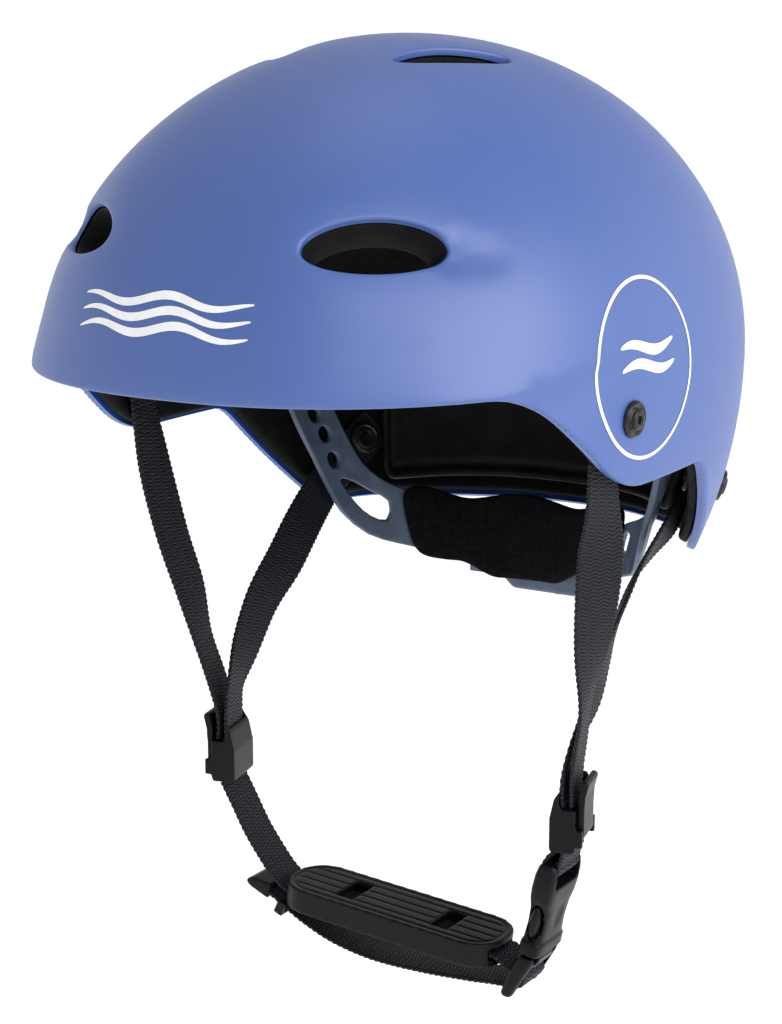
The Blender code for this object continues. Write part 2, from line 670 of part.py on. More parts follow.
def make_strap_ends(parts, cutters, swing):
    """Rubber keeper round the tail, and the wedge clip that ends it."""
    lean = Matrix.Rotation(math.radians(24), 3, "Y")
    keeper = box("strap_keeper", (3.6 * MM, 20 * MM, 5.2 * MM), Vector((-43.6, -7.5, -207.5)) * MM, parts, lean)
    hollow = (9 * MM, 17 * MM, 2.7 * MM)
    cut(keeper, box("keeper_cut", hollow, Vector((-43.6, -7.5, -207.5)) * MM, cutters, lean))
    paint(keeper, BLACK_RUBBER)
    outline = [(-8.5, 0.6), (-6, 2.6), (5, 3.6), (5, -3.6), (-6, -2.2), (-8.5, -0.6)]
    shape = bmesh.new()
    face = shape.faces.new([shape.verts.new((x * MM, -9 * MM, z * MM)) for x, z in outline])
    grown = bmesh.ops.extrude_face_region(shape, geom=[face])
    moved = [piece for piece in grown["geom"] if isinstance(piece, bmesh.types.BMVert)]
    bmesh.ops.translate(shape, vec=(0, 18 * MM, 0), verts=moved)
    bmesh.ops.recalc_face_normals(shape, faces=shape.faces)
    bmesh.ops.rotate(shape, cent=(0, 0, 0), matrix=Matrix.Rotation(math.radians(16), 3, "Y"), verts=shape.verts)
    clip = as_object("strap_end_clip", shape, parts)
    clip.location = Vector((-56.3, -7.5, -202.8)) * MM
    soften(clip, 0.8 * MM)
    slot_turn = Matrix.Rotation(math.radians(16), 3, "Y")
    cut(clip, box("clip_cut", (9 * MM, 16.6 * MM, 2.6 * MM), Vector((-51.6, -7.5, -204.3)) * MM, cutters, slot_turn))
    paint(clip, BLACK_PLASTIC)
    for piece in (keeper, clip):
        hang(piece, swing)


def pad_place(along, across, up):
    """Point in the chin pad's own frame."""
    turn = Matrix.Rotation(CHIN_PAD_TILT, 3, "Y")
    return CHIN_PAD_CENTRE + turn @ Vector((along, across, up))


def make_chin_pad(parts, cutters, swing):
    """Rubber chin rest: round-ended block with a strap channel, two cross windows and a flat top."""
    length, width, height = CHIN_PAD_SIZE
    turn = Matrix.Rotation(CHIN_PAD_TILT, 3, "Y")
    outline = []
    corner = 12 * MM
    for centre_x, centre_y, start in ((1, 1, 0), (-1, 1, 90), (-1, -1, 180), (1, -1, 270)):
        for step in range(7):
            angle = math.radians(start + 15 * step)
            outline.append((centre_x * (length / 2 - corner) + corner * math.cos(angle),
                            centre_y * (width / 2 - corner) + corner * math.sin(angle)))
    shape = bmesh.new()
    face = shape.faces.new([shape.verts.new((x, y, -height / 2)) for x, y in outline])
    grown = bmesh.ops.extrude_face_region(shape, geom=[face])
    moved = [piece for piece in grown["geom"] if isinstance(piece, bmesh.types.BMVert)]
    bmesh.ops.translate(shape, vec=(0, 0, height), verts=moved)
    bmesh.ops.recalc_face_normals(shape, faces=shape.faces)
    bmesh.ops.rotate(shape, cent=(0, 0, 0), matrix=turn, verts=shape.verts)
    pad = as_object("chin_pad", shape, parts)
    pad.location = CHIN_PAD_CENTRE
    soften(pad, 1.6 * MM, 3)
    channel = (120 * MM, 17 * MM, 4.6 * MM)
    cut(pad, box("pad_channel_cut", channel, pad_place(0, 0, -0.2 * MM), cutters, turn))
    flare_turn = Matrix.Rotation(math.radians(34), 3, "Y")
    flare = (16 * MM, 17 * MM, 5 * MM)
    cut(pad, box("pad_flare_cut", flare, pad_place(-46 * MM, 0, 2.2 * MM), cutters, flare_turn))
    for along in (-19, 21):
        window = (7 * MM, 16 * MM, 9 * MM)
        cut(pad, box(f"pad_window_cut_{along + 19}", window, pad_place(along * MM, 0, 5 * MM), cutters, turn))
    paint(pad, BLACK_RUBBER)
    hang(pad, swing)


# ---- rear cradle ----


def cradle_point(turn, height, out=0.0):
    """Point on the cradle's oval at a turn from the side towards the nape, on the wearer's left."""
    half_width = CRADLE_HALF_WIDTH + CRADLE_LEAN * (height - CRADLE_LEVEL)
    x = half_width * math.cos(turn)
    y = CRADLE_CENTRE_Y + CRADLE_HALF_DEPTH * math.sin(turn)
    normal = Vector((math.cos(turn) / half_width, math.sin(turn) / CRADLE_HALF_DEPTH, 0)).normalized()
    return Vector((x, y, height)) + normal * out


def peg_place(side):
    place = cradle_point(PEG_TURN, PEG_HEIGHT)
    return Vector((place.x * side, place.y, place.z))


def curve_blank(name, outlines, thickness, group):
    """A flat plate from closed outlines, the later ones being holes, as a mesh object."""
    data = bpy.data.curves.new(name + "_blank", "CURVE")
    data.dimensions = "2D"
    data.fill_mode = "BOTH"
    data.extrude = thickness / 2
    for outline in outlines:
        spline = data.splines.new("POLY")
        spline.points.add(len(outline) - 1)
        for target, (x, y) in zip(spline.points, outline):
            target.co = (x, y, 0, 1)
        spline.use_cyclic_u = True
    flat = bpy.data.objects.new(name + "_blank", data)
    group.objects.link(flat)
    bpy.context.view_layer.update()
    mesh = bpy.data.meshes.new_from_object(flat.evaluated_get(bpy.context.evaluated_depsgraph_get()))
    bpy.data.objects.remove(flat)
    shape = bmesh.new()
    shape.from_mesh(mesh)
    bpy.data.meshes.remove(mesh)
    bmesh.ops.remove_doubles(shape, verts=shape.verts, dist=0.00005)
    return shape


def ring(x, y, radius, sides=12):
    return [(x + radius * math.cos(2 * math.pi * i / sides), y + radius * math.sin(2 * math.pi * i / sides))
            for i in range(sides)]


def rounded(points, steps=2):
    """Closed outline through hand-placed points, smoothed."""
    count = len(points)
    found = []
    for index in range(count):
        before, start, end, after = (Vector(points[(index + k) % count]) for k in (-1, 0, 1, 2))
        for step in range(steps):
            t = step / steps
            near = 2 * start + (end - before) * t
            far = (2 * before - 5 * start + 4 * end - after) * t**2 + (3 * start - before - 3 * end + after) * t**3
            found.append(tuple((near + far) / 2))
    return found


ARM_OUTLINE = [(-9, -17), (-7, -25), (-4.5, -33), (-2, -42), (1.5, -52), (4.5, -63), (9, -74), (19, -84),
               (31, -89), (44, -93), (55, -97.5), (64, -103), (67, -101), (67, -86), (62, -80), (53, -74), (43, -70),
               (36, -66.8), (30, -63), (24, -56), (20.5, -45), (18.5, -36), (16, -27), (13, -17), (3, -13.5)]
ARM_WINDOWS = [[(11.5, -61.5), (18, -63), (25, -67.8), (31.5, -72.5), (29, -79.5), (22, -77), (16.5, -71)],
               [(43, -76), (50, -76.5), (51, -87), (44.5, -86.5)]]
ARM_HOLES = [(7.8, -36), (10.5, -44), (11.3, -54)]


def make_cradle_arms(parts, cutters, cradle):
    """Each arm is a flat plate with peg holes and windows, bent round the head."""
    scale = CRADLE_HALF_DEPTH * math.pi / 180
    for side, word in ((1, "left"), (-1, "right")):
        outlines = [rounded([(turn * scale, height * MM) for turn, height in ARM_OUTLINE])]
        for window in ARM_WINDOWS:
            outlines.append(rounded([(turn * scale, height * MM) for turn, height in window]))
        for turn, height in ARM_HOLES:
            outlines.append(ring(turn * scale, height * MM, 3.2 * MM))
        outlines.append(ring(math.degrees(PEG_TURN) * scale, PEG_HEIGHT, PEG_HOLE_RADIUS))
        shape = curve_blank(f"cradle_arm_{word}", outlines, CRADLE_PLATE, parts)
        for cut_at in range(-6, 66, 8):
            everything = list(shape.verts) + list(shape.edges) + list(shape.faces)
            bmesh.ops.bisect_plane(shape, geom=everything, dist=1e-6, plane_co=(cut_at * scale, 0, 0),
                                   plane_no=(1, 0, 0))
        for corner in shape.verts:
            degrees = corner.co.x / scale
            straightened = TAIL_OFFSET * smooth_step(degrees, 46, 66)
            bent = cradle_point(math.radians(degrees), corner.co.y, corner.co.z + straightened)
            corner.co = Vector((bent.x * side, bent.y, bent.z))
        bmesh.ops.triangulate(shape, faces=shape.faces)
        bmesh.ops.recalc_face_normals(shape, faces=shape.faces)
        arm = as_object(f"cradle_arm_{word}", shape, parts)
        paint(arm, CRADLE_GREY)
        hang(arm, cradle)


def make_cradle_pegs(parts):
    """Posts from the liner through the arms' upper holes, on the axis the cradle tilts about."""
    profile = [(0, 12.4), (4.1, 12.4), (4.1, 3.4), (PEG_RADIUS / MM, 3.4), (PEG_RADIUS / MM, -3.2), (4.8, -3.3)]
    profile = profile + [(4.8, -4.2), (3.8, -5.0), (0, -5.2)]
    profile = [(radius * MM, height * MM) for radius, height in profile]
    for side, word in ((1, "left"), (-1, "right")):
        peg = turned(f"cradle_peg_{word}", profile, peg_place(side), (side, 0, 0), parts, 24)
        paint(peg, BLACK_PLASTIC)


def make_nape_unit(parts, cutters, cradle):
    """Housing, toothed racks, dial with its pinion, and screw."""
    centre = DIAL_CENTRE
    outline = [(-24.5, 20), (24.5, 20), (24.5, -3), (15, -12), (-15, -12), (-24.5, -3)]
    shape = bmesh.new()
    face = shape.faces.new([shape.verts.new((x * MM, -5 * MM, z * MM)) for x, z in outline])
    grown = bmesh.ops.extrude_face_region(shape, geom=[face])
    moved = [piece for piece in grown["geom"] if isinstance(piece, bmesh.types.BMVert)]
    bmesh.ops.translate(shape, vec=(0, 10 * MM, 0), verts=moved)
    bmesh.ops.recalc_face_normals(shape, faces=shape.faces)
    housing = as_object("nape_housing", shape, parts)
    housing.location = centre
    soften(housing, 1.5 * MM)
    cut(housing, box("rack_channel_cut", (70 * MM, 4.8 * MM, 18 * MM), centre, cutters))
    cut(housing, rod("dial_shaft_cut", 2.6 * MM, 30 * MM, centre + Vector((0, 10 * MM, 0)), (0, 1, 0), cutters, 20))
    paint(housing, CRADLE_GREY)
    hang(housing, cradle)

    pitch_radius = PINION_TEETH * TOOTH_MODULE / 2
    for side, word in ((1, "left"), (-1, "right")):
        strip_z = side * (pitch_radius + 2.6 * MM)
        strip_place = centre + Vector((side * 14 * MM, 0, strip_z))
        rack = box(f"rack_{word}", (44 * MM, 3.6 * MM, 2.6 * MM), strip_place, parts)
        for index in range(9):
            along = side * (index - 1.5) * RACK_PITCH
            tooth_place = centre + Vector((along, 0, side * (pitch_radius + 0.7 * MM)))
            fuse(rack, box(f"rack_tooth_{word}_{index}", (1.1 * MM, 3.2 * MM, 2.0 * MM), tooth_place, cutters))
        paint(rack, CRADLE_GREY)
        hang(rack, cradle)

    back = Vector((0, 1, 0))
    knob = [(0, 13.5), (10.5, 13.5), (13.5, 12.2), (DIAL_RADIUS / MM, 10), (DIAL_RADIUS / MM, 5.6), (2.3, 5.6)]
    knob = knob + [(2.3, 1.8), (0, 1.8)]
    dial = turned("fit_dial", [(radius * MM, height * MM) for radius, height in knob], centre, back, parts, 32)
    cut(dial, rod("dial_screw_cut", 3.4 * MM, 6 * MM, centre + back * 14.4 * MM, back, cutters, 20))
    for index in range(16):
        angle = 2 * math.pi * (index + 0.5) / 16
        place = centre + Vector((math.cos(angle), 0, math.sin(angle))) * (DIAL_RADIUS + 1.0 * MM) + back * 10 * MM
        cut(dial, rod(f"dial_grip_cut_{index}", 1.7 * MM, 20 * MM, place, back, cutters, 10))
    paint(dial, CRADLE_GREY)
    screw = [(0, 13.4), (2.4, 13.4), (3.0, 12.8), (3.0, 11.8), (0, 11.8)]
    screw = turned("dial_screw", [(radius * MM, height * MM) for radius, height in screw], centre, back, parts, 20)
    paint(screw, BLACK_METAL, 0.8)
    pinion = rod("fit_pinion", pitch_radius - 1.1 * MM, 3.2 * MM, centre, back, parts, 24)
    for index in range(PINION_TEETH):
        angle = 2 * math.pi * index / PINION_TEETH
        turn = Matrix.Rotation(-angle, 3, "Y")
        place = centre + turn @ Vector((pitch_radius - 0.6 * MM, 0, 0))
        fuse(pinion, box(f"pinion_tooth_{index}", (2.2 * MM, 2.8 * MM, 1.1 * MM), place, cutters, turn))
    paint(pinion, CRADLE_GREY)
    for piece in (dial, screw, pinion):
        hang(piece, cradle)


def make_nape_pad(parts, cradle):
    """Soft pad over the inside of the band."""
    shape = bmesh.new()
    rings = []
    low_turn = math.radians(50)
    high_turn = math.radians(180 - 37)
    columns = 20
    for index in range(columns + 1):
        share = index / columns
        turn = low_turn + (high_turn - low_turn) * share
        ends = math.sin(math.pi * share)
        high = (-72 + 3.5 * min(1, 3 * ends)) * MM
        low = (-90 - 15 * min(1, 1.3 * ends)) * MM
        depth = (3.2 + 3.8 * min(1, 3 * ends)) * MM
        gap = CRADLE_PLATE / 2 + 0.6 * MM
        band = [(high, gap), (high - 3 * MM, gap + depth), (low + 3 * MM, gap + depth), (low, gap)]
        rings.append([shape.verts.new(cradle_point(turn, height, -inner)) for height, inner in band])
    for first, second in zip(rings, rings[1:]):
        for index in range(4):
            after = (index + 1) % 4
            shape.faces.new((first[index], first[after], second[after], second[index]))
    shape.faces.new(rings[0])
    shape.faces.new(list(reversed(rings[-1])))
    bmesh.ops.recalc_face_normals(shape, faces=shape.faces)
    pad = as_object("nape_pad", shape, parts)
    paint(pad, BLACK_FOAM)
    hang(pad, cradle)


def seat_at_origin():
    """Lower the whole helmet so that the crown pad's underside is at height 0."""
    for item in bpy.data.objects:
        if item.parent is None:
            item.location.z -= SEAT_HEIGHT


def main():
    clear_scene()
    parts = new_collection("water_helmet")
    cutters = new_collection("cutters")
    swing = pivot("chin_strap_pivot", SWING_AXIS_AT, parts)
    cradle = pivot("cradle_pivot", Vector((0, peg_place(1).y, PEG_HEIGHT)), parts)
    make_shell_and_liner(parts, cutters)
    make_comfort_pads(parts)
    make_rivets(parts)
    make_hanging_straps(parts, cutters)
    make_adjusters(parts, cutters)
    make_buckle_socket(parts, cutters)
    make_drop_strap(parts, cutters)
    make_buckle_plug(parts, cutters, swing)
    make_chin_webbing(parts, swing)
    make_strap_ends(parts, cutters, swing)
    make_chin_pad(parts, cutters, swing)
    make_cradle_arms(parts, cutters, cradle)
    make_cradle_pegs(parts)
    make_nape_unit(parts, cutters, cradle)
    make_nape_pad(parts, cradle)
    seat_at_origin()


main()
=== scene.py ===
"""Looks of the water helmet: smooth shell and liner, swollen pads, ribbed webbing and moulded fittings.

Lengths in the tables are millimetres above the brow rim; place() turns them into the frame's metres.
"""

import math

import bmesh
import bpy
import numpy as np
from mathutils import Matrix, Vector, geometry


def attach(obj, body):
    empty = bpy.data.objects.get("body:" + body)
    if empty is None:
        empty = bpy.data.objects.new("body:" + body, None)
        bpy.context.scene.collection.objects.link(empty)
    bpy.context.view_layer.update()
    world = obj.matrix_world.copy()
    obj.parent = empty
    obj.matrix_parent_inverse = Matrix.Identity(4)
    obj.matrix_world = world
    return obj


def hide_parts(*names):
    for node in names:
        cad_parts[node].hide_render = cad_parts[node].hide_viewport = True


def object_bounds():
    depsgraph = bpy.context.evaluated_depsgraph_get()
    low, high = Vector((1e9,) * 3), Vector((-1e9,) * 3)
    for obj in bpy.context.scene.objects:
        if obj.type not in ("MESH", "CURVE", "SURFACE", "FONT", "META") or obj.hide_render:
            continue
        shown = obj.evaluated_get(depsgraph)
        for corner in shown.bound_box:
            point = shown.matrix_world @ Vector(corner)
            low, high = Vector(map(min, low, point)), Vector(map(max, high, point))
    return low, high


MM = 0.001
QUARTER = math.pi / 2

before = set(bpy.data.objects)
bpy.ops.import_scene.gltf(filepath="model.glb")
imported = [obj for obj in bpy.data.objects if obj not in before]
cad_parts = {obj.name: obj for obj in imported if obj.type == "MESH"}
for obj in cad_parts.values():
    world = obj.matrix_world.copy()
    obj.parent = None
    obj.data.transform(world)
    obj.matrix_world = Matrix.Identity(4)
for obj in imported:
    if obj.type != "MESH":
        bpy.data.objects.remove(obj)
cad_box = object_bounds()

# The crown pad's underside is height 0 in the frame and this far above the brow rim.
SEAT = 80.0

# Dome.
HALF_WIDTH, FRONT_LENGTH, REAR_LENGTH = 104.0, 141.0, 152.0
SQUARENESS = 2.34
WIDEST, CROWN_RISE, SKIRT_DEPTH = -1.5, 112.5, 144.0
SHELL_THICKNESS = 3.0
LINER_DEPTH = 3.7
LINER_THIN, LINER_THICK, LINER_TAPER = 4.0, 14.0, (12.0, 40.0)
BROW_HEIGHT = 6.0
TEMPLE_STEP = (-80.0, -32.0, 14.0, 37.0)
NAPE_STEP = (29.0, 68.0, 5.0, 43.0)
NAPE_DIP = 2.5

# Mesh of the two dome layers: edge rings lie these distances in from the rim and the vents.
EDGE_RINGS = (0, 0.12, 0.35, 0.7, 1.2, 2.0, 3.2)
RIM_COLUMNS, CROWN_ROWS, VENT_SIDES = 300, 46, 88
EDGE_BAND, VENT_CLEAR = 8.0, 4.2

# Vents on the wearer's left: centre, half-length, half-width.
VENTS = {
    "front": ((54.0, -105.5, 51.5), 22.5, 9.0),
    "top": ((31.0, -20.0, 105.0), 25.0, 7.0),
    "rear": ((56.0, 112.0, 52.0), 21.0, 8.5),
}

# Relief of the shell.
VENT_DISH = {"front": 0.7, "top": 0.3, "rear": 0.5}
BROW_LIP = 1.6
CREASE_DEPTH = 1.5

FRONT_RIVET = (math.radians(73.6), -7.3)
REAR_RIVET = (math.radians(138.8), -53.0)
WEBBING_WIDTH, WEBBING_THICKNESS, STRAP_DEPTH = 16.0, 1.8, 9.9
STRAP_LAP = 1.6
ADJUSTER = (71.8, -7.5, -151.0)
ADJUSTER_TURN = Matrix.Rotation(math.radians(13), 3, "Z")
LEVER_HINGE = (5.0, -6.5)

# Pads and cradle.
PAD_REST, CROWN_PAD_REACH = 0.8, 0.22
CRADLE_CENTRE_Y, CRADLE_HALF_WIDTH, CRADLE_HALF_DEPTH = 50.0, 77.5, 58.0
CRADLE_LEVEL, CRADLE_LEAN = -36.0, 0.339

# Chin strap and buckle.
CHIN_Y = -7.5
BUCKLE_FOOT, BUCKLE_LEAN = (57.4, CHIN_Y, -215.1), math.radians(13)
UPPER_BAR_AT, BAR_RADIUS = 46.0, 1.7
PLUG_BEND = 0.27
CHIN_PAD_CENTRE, CHIN_PAD_TILT = (2.0, CHIN_Y, -203.8), math.radians(4.4)


def place(x, y, z):
    return Vector((x, y, z - SEAT)) * MM


def to_frame(points):
    """Millimetres above the rim to metres in the frame, for an array of points."""
    return (np.asarray(points, float) - (0, 0, SEAT)) * MM


# ---- materials ----


SOCKETS = {"roughness": "Roughness", "metallic": "Metallic", "specular": "Specular IOR Level",
           "sheen": "Sheen Weight", "sheen_rough": "Sheen Roughness"}


class Nodes:
    """Short way to build a procedural material."""

    def __init__(self, name, **values):
        self.material = bpy.data.materials.new(name)
        self.material.use_nodes = True
        self.tree = self.material.node_tree
        self.shader = self.tree.nodes["Principled BSDF"]
        for key, value in values.items():
            self.shader.inputs[SOCKETS[key]].default_value = value
        self.coords = self.add("TexCoord")

    def add(self, kind, **values):
        """A node with inputs set; a space in an input's name is written as an underscore."""
        node = self.tree.nodes.new("ShaderNode" + kind)
        for key, value in values.items():
            node.inputs[key.replace("_", " ")].default_value = value
        return node

    def link(self, start, end):
        self.tree.links.new(start, end)

    def noise(self, scale, detail=3.0):
        node = self.add("TexNoise", Scale=scale, Detail=detail)
        self.link(self.coords.outputs["Object"], node.inputs["Vector"])
        return node.outputs["Fac"]

    def cells(self, scale, feature="F1"):
        node = self.add("TexVoronoi", Scale=scale)
        node.feature = feature
        self.link(self.coords.outputs["Object"], node.inputs["Vector"])
        return node.outputs["Distance"]

    def math(self, operation, first, second=0):
        node = self.add("Math")
        node.operation = operation
        for socket, value in zip(node.inputs, (first, second)):
            if isinstance(value, (int, float)):
                socket.default_value = value
            else:
                self.link(value, socket)
        return node.outputs[0]

    def colour(self, factor, stops):
        """Base colour from a factor and two stops."""
        node = self.add("ValToRGB")
        for element, (position, tone) in zip(node.color_ramp.elements, stops):
            element.position = position
            element.color = (*tone, 1)
        self.link(factor, node.inputs["Fac"])
        self.link(node.outputs["Color"], self.shader.inputs["Base Color"])

    def rough(self, factor, low, high):
        node = self.add("MapRange", To_Min=low, To_Max=high)
        self.link(factor, node.inputs["Value"])
        self.link(node.outputs["Result"], self.shader.inputs["Roughness"])

    def bump(self, height, strength, distance):
        node = self.add("Bump", Strength=strength, Distance=distance * MM)
        self.link(height, node.inputs["Height"])
        self.link(node.outputs["Normal"], self.shader.inputs["Normal"])


def two_tones(base, spread):
    """Stops for a soft variation either side of a colour."""
    low = tuple(channel * (1 - spread) for channel in base)
    high = tuple(min(1, channel * (1 + spread)) for channel in base)
    return [(0.3, low), (0.7, high)]


def finish(name, mottle, tones, bump=None, rough=None, **values):
    """Material with noise in its colour (scale, detail), roughness (scale, detail, low, high) and bump."""
    made = Nodes(name, **values)
    made.colour(made.noise(*mottle), tones)
    if rough:
        made.rough(made.noise(*rough[:2]), *rough[2:])
    if bump:
        made.bump(made.noise(*bump[:2]), *bump[2:])
    return made


def foam_black():
    made = finish("foam_black", (160, 4), [(0.3, (0.004, 0.004, 0.005)), (0.75, (0.010, 0.010, 0.011))],
                  rough=(90, 3, 0.62, 0.85), specular=0.12)
    made.bump(made.cells(520), 0.35, 0.3)
    return made.material


def leather_black():
    made = finish("leather_black", (120, 4), [(0.3, (0.005, 0.005, 0.006)), (0.75, (0.012, 0.012, 0.014))],
                  rough=(220, 4, 0.42, 0.62), specular=0.2)
    grain = made.math("ADD", made.cells(700, "SMOOTH_F1"), made.math("MULTIPLY", made.noise(300, 5), 0.6))
    made.bump(grain, 0.4, 0.25)
    return made.material


def webbing_black():
    """Chevron weave from the strap's own coordinates: x across in widths, y along in millimetres."""
    made = Nodes("webbing_black", specular=0.25)
    split = made.add("SeparateXYZ")
    made.link(made.coords.outputs["UV"], split.inputs[0])
    across = made.math("ABSOLUTE", made.math("SUBTRACT", split.outputs["X"], 0.5))
    zigzag = made.math("PINGPONG", made.math("MULTIPLY", across, 16.0), 2.0)
    slanted = made.math("MULTIPLY", split.outputs["Y"], 4.6)
    slanted = made.math("ADD", slanted, made.math("MULTIPLY", zigzag, 2.2))
    twill = made.math("MULTIPLY", made.math("ADD", made.math("SINE", slanted), 1), 0.5)
    height = made.math("ADD", twill, made.math("MULTIPLY", made.noise(2600, 2), 0.3))
    # Tone follows the weave's height: raised ribs and fine noise specks are painted lighter as a thread
    # sheen, and the valleys are painted darker as shade
    made.colour(height, [(0.1, (0.0015, 0.0018, 0.003)), (0.9, (0.012, 0.014, 0.021))])
    made.rough(twill, 0.8, 0.5)
    made.bump(height, 0.55, 0.35)
    return made.material


def plastic(name, base, low, high, grain=1100, specular=0.16):
    tones = two_tones(base, 0.18)
    return finish(name, (140, 4), tones, (grain, 3, 0.12, 0.08), (75, 4, low, high),
                  specular=specular).material


PAINT = finish("shell_paint", (9, 4), two_tones((0.040, 0.095, 0.330), 0.03), (1400, 2, 0.06, 0.05),
               (60, 4, 0.40, 0.46), specular=0.9).material
INSIDE = finish("shell_inside", (30, 3), two_tones((0.012, 0.07, 0.36), 0.08), (900, 3, 0.08, 0.05),
                roughness=0.35).material
PRINT = finish("print_white", (200, 4), [(0.3, (0.78, 0.79, 0.8)), (0.6, (0.86, 0.86, 0.87))],
               (1500, 3, 0.05, 0.03), roughness=0.4).material
PLUSH = finish("plush_black", (500, 4), [(0.3, (0.003, 0.003, 0.004)), (0.8, (0.009, 0.009, 0.011))],
               (1800, 4, 0.6, 0.6), roughness=0.95, specular=0.05, sheen=0.02, sheen_rough=0.4).material
METAL = finish("painted_metal", (400, 4), [(0.3, (0.012, 0.012, 0.013)), (0.8, (0.04, 0.04, 0.042))],
               (900, 3, 0.08, 0.05), (300, 3, 0.22, 0.4), metallic=0.6).material
FOAM = foam_black()
LEATHER = leather_black()
WEBBING = webbing_black()
BLACK = plastic("moulded_black", (0.003, 0.003, 0.0045), 0.3, 0.44)
RUBBER = plastic("chin_rubber", (0.003, 0.003, 0.0045), 0.36, 0.5, 800, 0.18)
GREY = plastic("cradle_grey", (0.085, 0.112, 0.175), 0.36, 0.5, specular=0.4)


# ---- meshes ----


def new_mesh(name, points, faces, material, smooth=True):
    """An object from points in the frame's metres."""
    mesh = bpy.data.meshes.new(name)
    mesh.from_pydata([tuple(point) for point in points], [], [tuple(face) for face in faces])
    mesh.validate()
    mesh.materials.append(material)
    mesh.polygons.foreach_set("use_smooth", [smooth] * len(mesh.polygons))
    item = bpy.data.objects.new(name, mesh)
    bpy.context.scene.collection.objects.link(item)
    return item


def tube_faces(rings, sides):
    """Quads between rings of points that follow one another."""
    faces = []
    for first in range(0, (rings - 1) * sides, sides):
        for step in range(sides):
            after = (step + 1) % sides
            faces.append((first + step, first + after, first + sides + after, first + sides + step))
    return faces


def end_caps(rings, sides):
    return [tuple(range(sides))[::-1], tuple(range((rings - 1) * sides, rings * sides))]


def loop_edges(first, count):
    return [(first + index, first + (index + 1) % count) for index in range(count)]


def edit(item, change):
    """Change the object's mesh through bmesh."""
    shape = bmesh.new()
    shape.from_mesh(item.data)
    change(shape)
    shape.to_mesh(item.data)
    shape.free()


def face_outwards(item):
    edit(item, lambda shape: bmesh.ops.recalc_face_normals(shape, faces=shape.faces))
    return item


def move_points(item, points):
    item.data.vertices.foreach_set("co", points.ravel())
    item.data.update()


def mesh_points(item):
    return np.array([tuple(vertex.co) for vertex in item.data.vertices])


def bake(item):
    """Replace the mesh by what its modifiers make."""
    ready = item.evaluated_get(bpy.context.evaluated_depsgraph_get())
    mesh = bpy.data.meshes.new_from_object(ready)
    item.modifiers.clear()
    old = item.data
    item.data = mesh
    bpy.data.meshes.remove(old)


def sharpen(item, degrees):
    item.data.set_sharp_from_angle(angle=math.radians(degrees))


def stand_for(item, body, slot, *nodes):
    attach(item, body)
    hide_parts(*nodes)
    return item


def dress(node, material, width):
    """Give a CAD node a material and rounded edges."""
    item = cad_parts[node]
    item.data.materials.clear()
    item.data.materials.append(material)
    item.data.polygons.foreach_set("use_smooth", [True] * len(item.data.polygons))
    sharpen(item, 32)
    change = item.modifiers.new("round", "BEVEL")
    change.width = width * MM
    change.segments = 3
    change.limit_method = "ANGLE"
    change.angle_limit = math.radians(35)
    change.harden_normals = False


# ---- dome surface ----


def eased_ramp(value, start, end, ease):
    def rise(distance):
        middle = (distance + ease) ** 2 / (4 * ease)
        return np.where(distance <= -ease, 0.0, np.where(distance >= ease, distance, middle))

    return (rise(value - start) - rise(value - end)) / (end - start)


def smooth_step(value, low, high):
    share = np.clip((value - low) / (high - low), 0, 1)
    return share * share * (3 - 2 * share)


def rim_height(y):
    height = BROW_HEIGHT + 0 * y
    for start, end, ease, drop in (TEMPLE_STEP, NAPE_STEP):
        height = height - drop * eased_ramp(y, start, end, ease)
    return height - NAPE_DIP * smooth_step(y, 85.0, 125.0)


def dome(turn, level):
    """Points of the plain dome and their outward unit normals."""
    turn, level = np.broadcast_arrays(np.asarray(turn, float), np.asarray(level, float))
    length = np.where(np.cos(turn) > 0, FRONT_LENGTH, REAR_LENGTH)
    span = np.where(level < QUARTER, CROWN_RISE, SKIRT_DEPTH)
    across = np.abs(np.sin(turn)) / HALF_WIDTH
    along = np.abs(np.cos(turn)) / length
    reach = (across**SQUARENESS + along**SQUARENESS) ** (-1 / SQUARENESS) * np.sin(level)
    points = np.stack([reach * np.sin(turn), -reach * np.cos(turn), WIDEST + span * np.cos(level)], -1)
    low = np.maximum(np.sin(level), 1e-4)
    power = SQUARENESS - 1
    normal_x = np.sign(points[..., 0]) * np.abs(points[..., 0]) ** power / HALF_WIDTH**SQUARENESS
    normal_y = np.sign(points[..., 1]) * np.abs(points[..., 1]) ** power / length**SQUARENESS
    normal_z = low ** (SQUARENESS - 2) * np.cos(level) / span
    normals = np.stack([normal_x, normal_y, normal_z], -1)
    return points, normals / np.linalg.norm(normals, axis=-1, keepdims=True)


def level_at(height):
    span = np.where(height > WIDEST, CROWN_RISE, SKIRT_DEPTH)
    return np.arccos(np.clip((height - WIDEST) / span, -0.999, 0.999))


def rim_level(turn, raised=0.0):
    level = np.full(np.shape(turn), QUARTER)
    for _ in range(10):
        points, _normals = dome(turn, level)
        level = level_at(rim_height(points[..., 1]) + raised)
    return level


def dome_shares(points):
    """Height span at each point, and how far out and up it lies as shares of the dome."""
    length = np.where(points[:, 1] < 0, FRONT_LENGTH, REAR_LENGTH)
    span = np.where(points[:, 2] > WIDEST, CROWN_RISE, SKIRT_DEPTH)
    reach = ((np.abs(points[:, 0]) / HALF_WIDTH) ** SQUARENESS
             + (np.abs(points[:, 1]) / length) ** SQUARENESS) ** (1 / SQUARENESS)
    return span, reach, (points[:, 2] - WIDEST) / span


